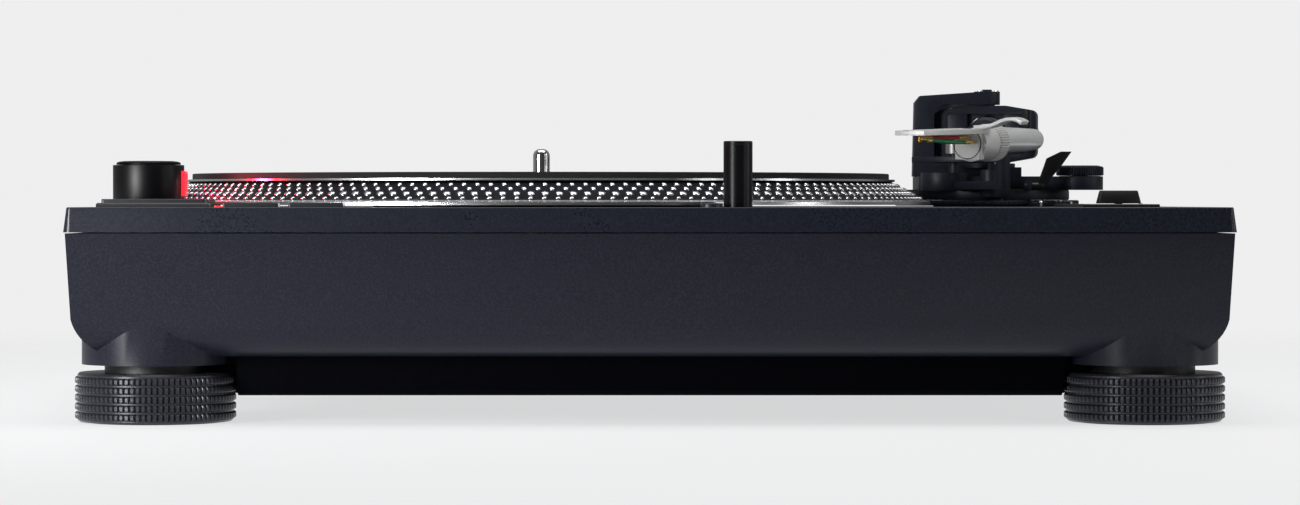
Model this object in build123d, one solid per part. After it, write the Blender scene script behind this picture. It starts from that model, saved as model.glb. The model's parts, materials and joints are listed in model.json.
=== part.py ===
from build123d import *
import math
import os

# A direct-drive turntable standing on the floor of its own frame, in millimetres.
# X runs to the right, Y to the back and Z up. The origin is the centre of the footprint.

# Case
deck_width = 453.0
deck_depth = 353.0
deck_thickness = 9.7
deck_draft = 1.3
deck_corner = 3.0
deck_edge = 0.6
seam = 0.4
shell_height = 48.2
shell_inset_top = 0.9
shell_inset_crease = 2.8
bevel_rise = 14.9
bevel_radius = 19.0
shell_wall = 5.0
boss_radius = 28.8
boss_drop = 3.2
boss_height = 30.0
post_radius = 8.0
pan_thickness = 15.4
pan_edge = 2.0
pan_side_inset = 48.5
pan_front_inset = 24.5
pan_notch_gap = 2.0
screw_head_radius = 4.0
screw_head_height = 2.4
screw_radius = 2.0
screw_bite = 3.0
screw_edge = 9.0
screw_sink = 0.2
screw_cross_half = 2.4
screw_cross_width = 1.0
screw_cross_depth = 1.2
screw_fit = 0.02
running = 0.05
sliding = 0.1
clear = 0.3

# Levelling feet
foot_inset = 32.2
foot_radius = 31.5
foot_height = 19.6
foot_gap = 3.2
foot_floor = 3.0
foot_ring_count = 5
foot_ring_rise = 2.4
foot_ring_groove = 1.05
foot_groove_depth = 0.9
foot_chamfer = 0.8
neck_radius = 19.9
neck_in_boss = 17.0

# Platter and drive
platter_share = 0.206
platter_margin = 14.06
platter_y = 0.0
platter_lift = 0.8
rim_height = 1.2
dot_band_foot = 3.0
dot_band_width = 13.5
dot_band_step = 0.8
dot_band_rise = 7.5
top_rim_overhang = 1.3
top_rim_step = 0.3
top_rim_height = 0.8
platter_web = 5.4
platter_lip = 8.0
platter_lip_slope = 11.0
hub_radius = 17.0
hub_drop = 7.3
mat_inset = 2.5
mat_thickness = 2.5
mat_hole = 4.3
mat_edge = 0.5
spindle_radius = 3.575
spindle_root = 4.2
spindle_dome = 2.86
spindle_above_mat = 10.7
well_inset = 8.0
well_depth = 6.5
bearing_radius = 11.0
bearing_flange = 13.5
bearing_flange_height = 3.2
bearing_length = 44.0
bearing_floor = 4.0
board_thickness = 1.6
stator_radius = 54.0
stator_hole = 14.5
coil_count = 9
coil_circle = 36.0
coil_radius = 8.5
coil_hole = 3.5
coil_height = 5.5
magnet_inner = 58.0
magnet_outer = 72.0
magnet_height = 7.7

# Strobe tower and power knob
tower_from_side = 24.2
tower_from_front = 76.5
tower_radius = 14.3
tower_height = 16.9
tower_bore = 6.0
tower_bore_depth = 12.0
knob_rim_radius = 12.9
knob_rise = 1.6
lens_width = 8.0
lens_low = 4.4
lens_height = 10.1
lens_stand_out = 1.1
lens_depth = 2.6
lens_edge = 0.9
knob_edge = 0.8

# Buttons
button_play = 0.2
button_travel = 1.2
pocket_depth = 6.5
start_from_side = 33.65
start_from_front = 12.0
start_size = 40.3
start_rise = 3.2
start_corner = 1.0
bezel_width = 1.6
bezel_height = 1.7
bezel_edge = 0.5
speed_width = 21.4
speed_depth = 10.0
speed_gap = 4.0
speed_from_side = 61.1
speed_from_front = 6.5
speed_rise = 1.8
speed_corner = 0.8
key_edge = 0.4

# Target light
light_from_platter = 80.6
light_from_front = 14.0
light_radius = 5.65
light_rise = 25.7
light_in_sleeve = 23.3
light_travel = 25.2
light_edge = 0.3
sleeve_wall = 1.0
sleeve_floor = 1.8
release_left = 10.4
release_ahead = 5.7
release_radius = 4.4
release_rise = 1.6
release_edge = 0.5

# Pitch control
pitch_from_side = 34.75
pitch_from_front = 100.5
pitch_plate_left_reach = 20.75
pitch_plate_right_reach = 9.65
pitch_plate_length = 120.0
pitch_plate_height = 1.2
pitch_plate_edge = 0.3
pitch_travel = 50.0
pitch_slot = 3.0
pitch_slot_play = 1.0
pitch_stem = 2.0
pitch_stem_length = 6.0
pitch_stem_reach = 6.0
pitch_knob_gap = 0.2
pitch_knob_base = 17.0
pitch_knob_top = 14.6
pitch_knob_length = 15.0
pitch_knob_top_length = 11.0
pitch_knob_height = 5.3
pitch_groove_radius = 9.0
pitch_groove_depth = 1.0
fader_width = 15.0
fader_height = 14.0
fader_end = 2.0
fader_floor = 3.0
pitch_button_radius = 3.0
pitch_button_left = 15.25
pitch_button_depth = 3.9
pitch_button_sink = 0.1
pitch_button_reach = 50.0

# Record adaptor
adaptor_from_side = 28.5
adaptor_from_back = 28.5
adaptor_radius = 19.0
adaptor_height = 8.0
adaptor_stand_out = 1.0
adaptor_edge = 1.0

# Tonearm base
arm_gap = 49.3
pivot_bearing = 23.54
mount_flange = 44.0
mount_flange_height = 3.0
mount_sleeve = 24.0
mount_sleeve_length = 34.0
stem_radius = 20.0
stem_length = 30.0
ring_radius = 41.0
ring_height = 2.5
ring_edge = 0.3
disc_radius = 36.7
disc_height = 3.8
platform_height = 6.4
platform_corner = 6.0
platform_overhang = 4.0
platform_left_reach = 32.0
platform_right_reach = 19.0
platform_front_reach = 26.0
platform_back_reach = 26.0
drum_left = 20.9
drum_ahead = 24.0
drum_radius = 10.3
drum_height = 8.0
pod_right = 39.0
pod_ahead = 26.0
pod_radius = 10.2
pod_gap = 0.4
pod_arm_length = 12.0
pod_arm_inset = 2.0
dial_radius = 10.45
dial_height = 4.5
dial_edge = 0.6
dial_pin = 3.0
lock_right = 23.0
lock_ahead = 46.5
lock_radius = 9.0
lock_pin = 3.0
lock_pin_depth = 5.0
lock_tab = 7.0
lock_tab_width = 5.0
lock_tab_step = 0.6
lock_tab_angle = 60.0

# Cueing
lifter_circle = 38.0
lifter_from = 2.0
lifter_to = 60.0
lifter_width = 5.0
lifter_thickness = 2.6
lifter_top = 22.0
lifter_travel = 3.0
lifter_rod_grip = 6.0
lifter_post = 4.6
lifter_post_height = 9.2
lifter_neck = 1.5
lifter_foot_half = 3.0
lifter_foot_height = 4.0
lifter_foot_overlap = 4.0
lever_right = 19.3
lever_ahead = 39.0
lever_z = 8.9
lever_hub = 1.7
lever_hub_length = 5.3
lever_pin = 1.2
ear_thickness = 2.4
ear_half_height = 2.3
ear_ahead = 2.4
ear_overlap = 6.0
ear_step = 0.6
lever_pin_end = 0.5
paddle_thickness = 3.0
paddle_root = 0.8
paddle_heel = (0.4, 2.6)
paddle_knee = (3.8, 12.2)
paddle_tip = (14.6, 15.2)
paddle_tip_flat = 4.6
paddle_nose = (10.4, 9.3)
paddle_toe = 3.4

# Gimbal
pivot_z = 32.3
arm_angle = 11.0
arm_droop = 2.0
gimbal_half_width = 22.4
gimbal_half_height = 12.7
gimbal_end_half_height = 10.4
gimbal_half_depth = 5.5
gimbal_wall = 5.2
gimbal_window_half_height = 9.0
gimbal_flat = 9.0
gimbal_corner = 3.0
pivot_pin = 1.5
pivot_pin_reach = 2.4
yoke_left = 33.4
yoke_leg = 9.4
yoke_half_depth = 5.8
yoke_gap = 0.5
yoke_beam = 5.9
yoke_foot_height = 4.2
yoke_foot_right = 15.0
yoke_gusset = 4.0
yoke_shoulder = (3.2, 2.0)
yoke_corner = (0.8, 5.0)
yoke_screw_radius = 2.2
yoke_screw_height = 0.9
yoke_screw_slot = 0.8
yoke_slot_depth = 0.5

# Arm
tube_radius = 4.3
tube_bore = 1.8
tube_back = 8.0
first_bend = 26.0
effective_length = 230.0
bulge_share = 0.568
bulge_out_share = 0.1748
first_bend_share = 0.217
bulge_radius_share = 0.391
offset_angle = 22.0
headshell_reach = 52.0
housing_radius = 7.5
housing_half_length = 8.0
housing_edge = 1.0
nut_radius = 7.6
nut_length = 8.0
nut_edge = 0.6
plug_radius = 3.4
plug_length = 10.0
socket_radius = 7.3
socket_length = 12.0
shell_plate_length = 62.0
shell_plate_start = 8.0
shell_plate_half_width = 9.0
shell_plate_tip_half_width = 6.5
shell_plate_thickness = 1.9
shell_plate_top = 6.0
shell_plate_corner = (6.0, 2.0)
shell_plate_taper = 8.0
slot_spacing = 12.7
slot_width = 2.7
slot_length = 11.0
slot_pitch = 13.0
slot_ahead = 3.0
terminal_depth = 3.0
terminal_half_width = 5.5
terminal_drop = 6.4
terminal_overlap = 0.5
terminal_outs = (-3.9, -1.3, 1.3, 3.9)
terminal_levels = (1.0, -1.5, 1.0, -1.5)
finger_reach = 18.0
finger_arch = 3.8
finger_end = 1.6
finger_thickness = 1.4
finger_width = 6.0
finger_root = 4.0
finger_from = 5.0
finger_peak_share = 0.6
finger_tip_slant = 0.8
finger_undercut = 1.0
lead_radius = 0.55
lead_reach = 24.0
lead_step = 1.5
lead_straight = 5.0
lead_sag_at = 12.0
lead_sag = 1.2
lead_spread = 1.35
lead_rise_at = 6.0
lead_rise = 1.2
lead_gather = 0.7
lead_end_gather = 0.6
lead_bend = 2.6
shaft_radius = 4.5
shaft_end = 78.0
shaft_edge = 0.6
spigot_step = 1.0
spigot_length = 4.0
spigot_room = 1.0
bush_radius = 7.0
bush_front = 34.0
bush_length = 41.0
weight_radius = 11.0
weight_front = 40.0
weight_length = 30.0
weight_edge = 0.8
force_dial_radius = 9.6
force_dial_length = 4.0

# Arm rest
rest_along = 62.0
rest_post = 3.2
rest_cradle_half = 6.5
rest_cradle_length = 6.0
rest_wall = 2.2
rest_wall_height = 9.0
rest_arm_height = 3.6
rest_arm_width = 6.0
rest_arm_lift = 0.6
rest_floor = 2.6
rest_post_overlap = 0.6
rest_wall_overlap = 1.0
rest_root_left = 19.0
rest_root_ahead = 24.0
clip_pin = 0.9
clip_thickness = 1.6
clip_reach = 9.0
clip_offset = 2.2
clip_cheek = 1.4
clip_drop = 1.8
clip_gap = 0.2

# Rear
socket_from_side = 76.5
hinge_width = 30.0
hinge_depth = 12.0
hinge_height = 44.0
hinge_slot_width = 20.0
hinge_slot = 6.0
hinge_slot_depth = 34.0
hinge_fit = 0.1
terminal_bay_place = 0.265
terminal_bay_width = 96.0
terminal_bay_height = 27.0
terminal_bay_depth = 18.0
terminal_bay_wall = 2.0
terminal_bay_lift = 1.0
terminal_bay_sink = 0.2
earth_post_radius = 2.0
jack_radius = 4.15
jack_length = 9.0
jack_spacing = 18.0
inlet_place = -0.265
inlet_width = 28.0
inlet_height = 20.0
inlet_depth = 16.0
inlet_pin_radius = 1.2
inlet_pin_spacing = 8.6
inlet_pin_length = 10.0

# Boards inside
supply_from_side = 10.0
supply_from_back = 12.0
supply_width = 80.0
supply_depth = 72.0
drive_reach = 126.0
drive_width = 100.0
drive_depth = 65.0
drive_from_front = 19.0
board_lift = 6.0
pillar_radius = 3.0
pillar_inset = 5.0
transformer_size = (26.0, 22.0, 24.0)
capacitor_size = (18.0, 18.0, 16.0)
heat_sink_size = (40.0, 12.0, 20.0)
processor_size = (20.0, 20.0, 4.0)
driver_size = (14.0, 30.0, 10.0)
plug_row_size = (30.0, 8.0, 8.0)

# Heights worked out from the sizes above
boss_z = foot_height + foot_gap
shell_z = boss_z + boss_drop
crease_z = shell_z + bevel_rise
shell_top = shell_z + shell_height
plate_z = shell_top + seam
deck = plate_z + deck_thickness
pan_z = shell_z - pan_thickness
well_floor = deck - well_depth
platter_bottom = deck + platter_lift
rim_top = platter_bottom + rim_height
band_low_z = rim_top + dot_band_step
band_high_z = band_low_z + dot_band_rise
platter_top = band_high_z + top_rim_step + top_rim_height
mat_top = platter_top + mat_thickness
spindle_top = mat_top + spindle_above_mat
tower_top = deck + tower_height
arm_ring_z = deck + clear
arm_disc_z = arm_ring_z + ring_height + clear
platform_z = arm_disc_z + disc_height
platform_top = platform_z + platform_height
pivot_height = deck + pivot_z

# Places worked out from the sizes above
foot_x = deck_width / 2 - foot_inset
foot_y = deck_depth / 2 - foot_inset
pan_half_width = deck_width / 2 - pan_side_inset
pan_half_depth = deck_depth / 2 - pan_front_inset
opening_half_x = pan_half_width - 2 * screw_edge
opening_half_y = pan_half_depth - 2 * screw_edge
rear_y = deck_depth / 2 - shell_inset_crease
platter_radius = platter_share * (deck_width + deck_depth)
platter_x = -deck_width / 2 + platter_radius + platter_margin
dot_band_low = platter_radius - dot_band_foot
dot_band_high = dot_band_low - dot_band_width
top_rim_radius = dot_band_high + top_rim_overhang
mat_radius = top_rim_radius - mat_inset
well_radius = platter_radius - well_inset
tower_x = -deck_width / 2 + tower_from_side
tower_y = -deck_depth / 2 + tower_from_front
start_x = -deck_width / 2 + start_from_side
start_front = -deck_depth / 2 + start_from_front
speed_left = -deck_width / 2 + speed_from_side
speed_front = -deck_depth / 2 + speed_from_front
light_x = platter_x + light_from_platter
light_y = -deck_depth / 2 + light_from_front
release_x = light_x - release_left
release_y = light_y - release_ahead
pitch_x = deck_width / 2 - pitch_from_side
pitch_y = -deck_depth / 2 + pitch_from_front
pitch_plate_left = pitch_x - pitch_plate_left_reach
pitch_plate_right = pitch_x + pitch_plate_right_reach
pitch_button_x = pitch_x - pitch_button_left
adaptor_x = -deck_width / 2 + adaptor_from_side
adaptor_y = deck_depth / 2 - adaptor_from_back
spindle_reach = platter_radius + arm_gap
pivot_x = platter_x + spindle_reach * math.cos(math.radians(pivot_bearing))
pivot_y = platter_y + spindle_reach * math.sin(math.radians(pivot_bearing))
platform_left = pivot_x - platform_left_reach
platform_right = pivot_x + platform_right_reach
platform_front = pivot_y - platform_front_reach
platform_back = pivot_y + platform_back_reach
drum_x = pivot_x - drum_left
drum_y = pivot_y - drum_ahead
pod_x = pivot_x + pod_right
pod_y = pivot_y - pod_ahead
lock_x = pivot_x + lock_right
lock_y = pivot_y - lock_ahead
lever_x = pivot_x + lever_right
lever_y = pivot_y - lever_ahead
bulge_along = effective_length * bulge_share
bulge_out = effective_length * bulge_out_share
first_bend_radius = effective_length * first_bend_share
bulge_radius = effective_length * bulge_radius_share
rest_root_x = pivot_x - rest_root_left
rest_root_y = pivot_y - rest_root_ahead
socket_x = deck_width / 2 - socket_from_side
terminal_bay_x = deck_width / 2 * terminal_bay_place
inlet_x = deck_width / 2 * inlet_place
corners = [(sx, sy) for sx in (-1, 1) for sy in (-1, 1)]
low = (Align.CENTER, Align.CENTER, Align.MIN)


def cylinder(radius, z_low, z_high, x=0.0, y=0.0):
    """An upright cylinder between two heights."""
    return Pos(x, y, z_low) * Cylinder(radius, z_high - z_low, align=low)


def block(x_low, x_high, y_low, y_high, z_low, z_high):
    """A box between its lowest and highest corners."""
    solid = Box(x_high - x_low, y_high - y_low, z_high - z_low)
    return Pos((x_low + x_high) / 2, (y_low + y_high) / 2, (z_low + z_high) / 2) * solid


def rod(radius, x_low, x_high, y=0.0, z=0.0):
    """A cylinder lying along X between two places."""
    return Pos(x_low, y, z) * Rot(0, 90, 0) * Cylinder(radius, x_high - x_low, align=low)


def turned(points, x=0.0, y=0.0):
    """A profile of radius and height points turned about an upright axis."""
    profile = make_face(Plane.XZ * Polyline(*points, close=True))
    return Pos(x, y, 0) * revolve(profile, Axis.Z)


def arm_frame():
    """The tonearm's own frame: X to the stylus, Y outwards, origin at the pivots."""
    return Pos(pivot_x, pivot_y, pivot_height) * Rot(0, 0, -90 - arm_angle) * Rot(0, arm_droop, 0)


def gimbal_frame():
    """The gimbal's frame: as the arm's, but level."""
    return Pos(pivot_x, pivot_y, pivot_height) * Rot(0, 0, -90 - arm_angle)


def socket_point():
    """Where the headshell meets the tube, in the arm's frame."""
    turn = math.radians(offset_angle)
    return (effective_length - headshell_reach * math.cos(turn), headshell_reach * math.sin(turn))


def head_frame():
    """The headshell's frame: X to its tip, origin at the tube's end."""
    along, out = socket_point()
    return arm_frame() * Pos(along, out, 0) * Rot(0, 0, -offset_angle)


# Case

def case_profile(half, wall):
    """The cabinet's cross-section, drawn upright, a wall's thickness inside its outline."""
    crease = half - shell_inset_crease
    centre = crease - math.sqrt(bevel_radius ** 2 - (bevel_radius - bevel_rise) ** 2)
    radius = bevel_radius - wall
    middle_z = shell_z + bevel_radius
    low_z = middle_z - radius
    start = math.asin((bevel_radius - bevel_rise) / bevel_radius)
    side = centre + radius * math.cos(start)
    side_z = middle_z - radius * math.sin(start)
    top = half - shell_inset_top - wall
    turn = (start + math.pi / 2) / 2
    mid = (centre + radius * math.cos(turn), middle_z - radius * math.sin(turn))
    right = ThreePointArc((centre, low_z), mid, (side, side_z))
    left = ThreePointArc((-side, side_z), (-mid[0], mid[1]), (-centre, low_z))
    lines = [
        right,
        Line((side, side_z), (top, shell_top)),
        Line((top, shell_top), (-top, shell_top)),
        Line((-top, shell_top), (-side, side_z)),
        left,
        Line((-centre, low_z), (centre, low_z)),
    ]
    return lines


def case_solid(wall):
    """The cabinet's outer form, or its inside when a wall is given."""
    half_x = deck_width / 2
    half_y = deck_depth / 2
    front = extrude(Plane.XZ * make_face(case_profile(half_x, wall)), half_y + 1, both=True)
    side = extrude(Plane.YZ * make_face(case_profile(half_y, wall)), half_x + 1, both=True)
    return front & side


def bay(x, width, height, depth):
    """The space cut in the rear wall for a terminal bay, from its floor to past the wall."""
    z_low = crease_z + terminal_bay_lift
    return block(x - width / 2, x + width / 2, rear_y - depth, rear_y + 5, z_low, z_low + height)


def cabinet_shell():
    """The cast cabinet: sloped walls, a round lower bevel and a boss over each foot."""
    shell = case_solid(0) - case_solid(shell_wall)
    shell -= block(-opening_half_x, opening_half_x, -opening_half_y, opening_half_y,
                   shell_z - 1, shell_z + shell_wall + 1)
    for sx, sy in corners:
        shell += cylinder(boss_radius, boss_z, boss_z + boss_height, sx * foot_x, sy * foot_y)
        shell += cylinder(post_radius, boss_z + boss_height - 1, plate_z, sx * foot_x, sy * foot_y)
        shell -= cylinder(neck_radius + sliding, boss_z - 1, boss_z + neck_in_boss + clear,
                          sx * foot_x, sy * foot_y)
    shell -= bay(terminal_bay_x, terminal_bay_width, terminal_bay_height, terminal_bay_depth)
    shell -= bay(inlet_x, inlet_width, inlet_height, inlet_depth)
    for side in (-1, 1):
        shell -= hinge_space(side)
    for x, y in screw_places():
        shell -= cylinder(screw_radius + screw_fit, shell_z - 1, shell_z + screw_bite + clear, x, y)
    shell -= cylinder(light_radius + sleeve_wall + sliding, sleeve_bottom() - clear, shell_top + 1,
                      light_x, light_y)
    return shell


def base_pan():
    """The heavy dark base between the feet, notched round each foot."""
    pan = block(-pan_half_width, pan_half_width, -pan_half_depth, pan_half_depth, pan_z, shell_z)
    pan = chamfer(pan.faces().sort_by(Axis.Z)[0].edges(), pan_edge)
    for sx, sy in corners:
        pan -= cylinder(foot_radius + pan_notch_gap, pan_z - 1, shell_z + 1, sx * foot_x, sy * foot_y)
    for x, y in screw_places():
        pan -= cylinder(screw_head_radius + clear, pan_z - 1, pan_z + screw_head_height, x, y)
        pan -= cylinder(screw_radius + sliding, pan_z - 1, shell_z + 1, x, y)
    return pan


def screw_places():
    """Where the base is screwed to the cabinet."""
    edge_x = pan_half_width - screw_edge
    edge_y = pan_half_depth - screw_edge
    sides = [(sx * edge_x, sy * edge_y / 2) for sx, sy in corners]
    ends = [(sx * edge_x / 2, sy * edge_y) for sx, sy in corners]
    return sides + ends


def case_screws():
    """The base's eight screws, up into the cabinet's flange."""
    screws = []
    for x, y in screw_places():
        head = cylinder(screw_head_radius, pan_z + screw_sink, pan_z + screw_head_height, x, y)
        shank = cylinder(screw_radius, pan_z + screw_head_height, shell_z + screw_bite, x, y)
        long = screw_cross_half
        half = screw_cross_width / 2
        cross = block(x - long, x + long, y - half, y + half, pan_z, pan_z + screw_cross_depth)
        cross += block(x - half, x + half, y - long, y + long, pan_z, pan_z + screw_cross_depth)
        screws.append(head + shank - cross)
    return Compound(children=screws)


def pocket(x_low, x_high, y_low, y_high):
    """A button's pocket in the top plate."""
    play = button_play
    return block(x_low - play, x_high + play, y_low - play, y_high + play,
                 deck - pocket_depth, deck + 1)


def start_span():
    """The start/stop button's corners in plan."""
    half = start_size / 2
    return start_x - half, start_x + half, start_front, start_front + start_size


def speed_span(index):
    """A speed button's corners in plan."""
    left = speed_left + index * (speed_width + speed_gap)
    return left, left + speed_width, speed_front, speed_front + speed_depth


def hinge_space(side):
    """The notch for a dust cover hinge socket at the rear edge."""
    x = side * socket_x
    half = hinge_width / 2
    back = deck_depth / 2 + 1
    return block(x - half, x + half, rear_y - hinge_depth, back, deck - hinge_height, deck + 1)


def top_plate():
    """The cast deck with its platter well and every pocket and hole."""
    angle = math.degrees(math.atan(deck_draft / deck_thickness))
    outline = Pos(0, 0, plate_z) * RectangleRounded(deck_width, deck_depth, deck_corner)
    plate = extrude(outline, deck_thickness, taper=angle)
    plate = fillet(plate.faces().sort_by(Axis.Z)[-1].edges(), deck_edge)
    plate -= cylinder(well_radius, well_floor, deck + 1, platter_x, platter_y)
    plate -= cylinder(bearing_radius + clear, plate_z - 1, deck, platter_x, platter_y)
    plate -= cylinder(tower_bore, plate_z - 1, deck + 1, tower_x, tower_y)
    plate -= pocket(*start_span())
    plate -= pocket(*speed_span(0))
    plate -= pocket(*speed_span(1))
    plate -= cylinder(light_radius + sleeve_wall, plate_z - 1, deck + 1, light_x, light_y)
    plate -= cylinder(release_radius + button_play, deck - pocket_depth, deck + 1, release_x, release_y)
    plate -= pitch_slot_cut(plate_z - 1, deck + 1)
    for side in (-1, 1):
        plate -= pitch_button_hole(side)
        plate -= hinge_space(side)
    plate -= cylinder(adaptor_radius + clear, deck + adaptor_stand_out - adaptor_height, deck + 1,
                      adaptor_x, adaptor_y)
    plate -= cylinder(mount_flange, deck - mount_flange_height, deck + 1, pivot_x, pivot_y)
    plate -= cylinder(mount_sleeve + clear, plate_z - 1, deck + 1, pivot_x, pivot_y)
    plate -= cylinder(lock_pin + running, deck - lock_pin_depth, deck + 1, lock_x, lock_y)
    return plate


def record_adaptor():
    """The loose adaptor for records with a large centre hole, in its recess."""
    floor = deck + adaptor_stand_out - adaptor_height
    disc = cylinder(adaptor_radius, floor, floor + adaptor_height, adaptor_x, adaptor_y)
    disc = chamfer(disc.faces().sort_by(Axis.Z)[-1].edges(), adaptor_edge)
    disc -= cylinder(spindle_radius + sliding, floor - 1, floor + adaptor_height + 1, adaptor_x, adaptor_y)
    return disc


# Drive

def spindle_bearing():
    """The flanged bearing housing hanging from the well's floor."""
    bottom = well_floor - bearing_length
    body = cylinder(bearing_radius, bottom, well_floor + bearing_flange_height, platter_x, platter_y)
    body += cylinder(bearing_flange, well_floor, well_floor + bearing_flange_height, platter_x, platter_y)
    body -= cylinder(spindle_root + running, bottom + bearing_floor, deck, platter_x, platter_y)
    return body


def spindle():
    """The spindle from the bearing's floor to its domed tip."""
    bottom = well_floor - bearing_length + bearing_floor + sliding
    shaft = cylinder(spindle_radius, bottom, spindle_top, platter_x, platter_y)
    shaft = fillet(shaft.faces().sort_by(Axis.Z)[-1].edges(), spindle_dome)
    return shaft + cylinder(spindle_root, bottom, platter_top, platter_x, platter_y)


def stator_board():
    """The round board that carries the coils."""
    top = well_floor + board_thickness
    board = cylinder(stator_radius, well_floor, top, platter_x, platter_y)
    return board - cylinder(stator_hole, well_floor - 1, top + 1, platter_x, platter_y)


def stator_coils():
    """The ring of flat coils."""
    low_z = well_floor + board_thickness
    coils = []
    for index in range(coil_count):
        angle = 2 * math.pi * index / coil_count
        x = platter_x + coil_circle * math.cos(angle)
        y = platter_y + coil_circle * math.sin(angle)
        coil = cylinder(coil_radius, low_z, low_z + coil_height, x, y)
        coils.append(coil - cylinder(coil_hole, low_z - 1, low_z + coil_height + 1, x, y))
    return Compound(children=coils)


def platter():
    """The cast platter: polished rims, sloped dot band and a hollow underside."""
    under = platter_top - platter_web
    lip = platter_radius - platter_lip
    bore = spindle_root + screw_fit
    return turned([
        (bore, under - hub_drop),
        (hub_radius, under - hub_drop),
        (hub_radius, under),
        (lip - platter_lip_slope, under),
        (lip, rim_top),
        (lip, platter_bottom),
        (platter_radius, platter_bottom),
        (platter_radius, rim_top),
        (dot_band_low, band_low_z),
        (dot_band_high, band_high_z),
        (top_rim_radius, band_high_z + top_rim_step),
        (top_rim_radius, platter_top),
        (bore, platter_top),
    ], platter_x, platter_y)


def platter_mat():
    """The thick mat on the platter."""
    mat = cylinder(mat_radius, platter_top, mat_top, platter_x, platter_y)
    mat = fillet(mat.faces().sort_by(Axis.Z)[-1].edges(), mat_edge)
    return mat - cylinder(mat_hole, platter_top - 1, mat_top + 1, platter_x, platter_y)


def rotor_magnet():
    """The ring magnet under the platter."""
    top = platter_top - platter_web
    ring = cylinder(magnet_outer, top - magnet_height, top, platter_x, platter_y)
    return ring - cylinder(magnet_inner, top - magnet_height - 1, top + 1, platter_x, platter_y)


# Strobe tower

def lens_block(play):
    """The strobe lens, or its seat when some play is given."""
    right = tower_x + tower_radius + lens_stand_out
    half = lens_width / 2 + play
    low_z = deck + lens_low - play
    return block(right - lens_depth - play, right, tower_y - half, tower_y + half,
                 low_z, low_z + lens_height + 2 * play)


def strobe_tower():
    """The round tower beside the platter, with the lens window and the knob's bore."""
    tower = cylinder(tower_radius, deck, tower_top, tower_x, tower_y)
    tower += cylinder(tower_bore - sliding, plate_z, deck, tower_x, tower_y)
    tower -= cylinder(tower_bore + running, tower_top - tower_bore_depth, tower_top + 1, tower_x, tower_y)
    return tower - lens_block(screw_fit)


def strobe_lens():
    """The red window that lights the dots."""
    lens = lens_block(0)
    return fillet(lens.edges().filter_by(Axis.Y).sort_by(Axis.X)[-2:], lens_edge)


def power_knob():
    """The rotary power knob: a domed, knurled cap on a stem in the tower."""
    cap = cylinder(knob_rim_radius, tower_top + clear / 2, tower_top + knob_rise, tower_x, tower_y)
    cap = chamfer(cap.faces().sort_by(Axis.Z)[-1].edges(), knob_edge)
    stem_low = tower_top - tower_bore_depth + clear
    return cap + cylinder(tower_bore, stem_low, tower_top + clear, tower_x, tower_y)


# Buttons

def key(span, rise, corner):
    """A rectangular button standing in its pocket."""
    x_low, x_high, y_low, y_high = span
    floor = deck - pocket_depth + button_travel + button_play
    body = block(x_low, x_high, y_low, y_high, floor, deck + rise)
    body = fillet(body.edges().filter_by(Axis.Z), corner)
    return fillet(body.faces().sort_by(Axis.Z)[-1].edges(), key_edge)


def start_stop_button():
    """The large square start and stop button."""
    return key(start_span(), start_rise, start_corner)


def speed_33_button():
    """The left speed button."""
    return key(speed_span(0), speed_rise, speed_corner)


def speed_45_button():
    """The right speed button."""
    return key(speed_span(1), speed_rise, speed_corner)


def button_bezel():
    """The frame round the start and stop button."""
    x_low, x_high, y_low, y_high = start_span()
    grow = button_play + bezel_width
    outer = block(x_low - grow, x_high + grow, y_low - grow, y_high + grow, deck, deck + bezel_height)
    outer = chamfer(outer.faces().sort_by(Axis.Z)[-1].edges(), bezel_edge)
    play = button_play
    return outer - block(x_low - play, x_high + play, y_low - play, y_high + play,
                         deck - 1, deck + bezel_height + 1)


# Target light

def sleeve_bottom():
    """The height of the guide tube's closed end."""
    return deck - light_in_sleeve - light_travel - sleeve_floor - clear


def target_light_sleeve():
    """The guide tube of the pop-up light, closed below."""
    bottom = sleeve_bottom()
    outer = cylinder(light_radius + sleeve_wall, bottom, deck, light_x, light_y)
    return outer - cylinder(light_radius + running, bottom + sleeve_floor, deck + 1, light_x, light_y)


def target_light():
    """The raised light column."""
    column = cylinder(light_radius, deck - light_in_sleeve, deck + light_rise, light_x, light_y)
    return chamfer(column.faces().sort_by(Axis.Z)[-1].edges(), light_edge)


def target_release_button():
    """The small button that lets the light rise."""
    floor = deck - pocket_depth + button_travel + button_play
    body = cylinder(release_radius, floor, deck + release_rise, release_x, release_y)
    return fillet(body.faces().sort_by(Axis.Z)[-1].edges(), release_edge)


# Pitch control

def pitch_slot_cut(z_low, z_high):
    """The long slot in which the pitch knob's stem runs."""
    half = pitch_travel + pitch_stem_length / 2 + pitch_slot_play
    return block(pitch_x - pitch_slot / 2, pitch_x + pitch_slot / 2,
                 pitch_y - half, pitch_y + half, z_low, z_high)


def pitch_button_hole(side):
    """The hole of a small pitch button, at one end of the plate."""
    floor = deck + pitch_plate_height - pitch_button_sink - pitch_button_depth - button_travel
    y = pitch_y + side * pitch_button_reach
    top = deck + pitch_plate_height + 1
    return cylinder(pitch_button_radius + button_play, floor, top, pitch_button_x, y)


def pitch_plate():
    """The trim plate of the pitch control."""
    half = pitch_plate_length / 2
    top = deck + pitch_plate_height
    plate = block(pitch_plate_left, pitch_plate_right, pitch_y - half, pitch_y + half, deck, top)
    plate = chamfer(plate.faces().sort_by(Axis.Z)[-1].edges(), pitch_plate_edge)
    plate -= pitch_slot_cut(deck - 1, top + 1)
    for side in (-1, 1):
        plate -= pitch_button_hole(side)
    return plate


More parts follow.
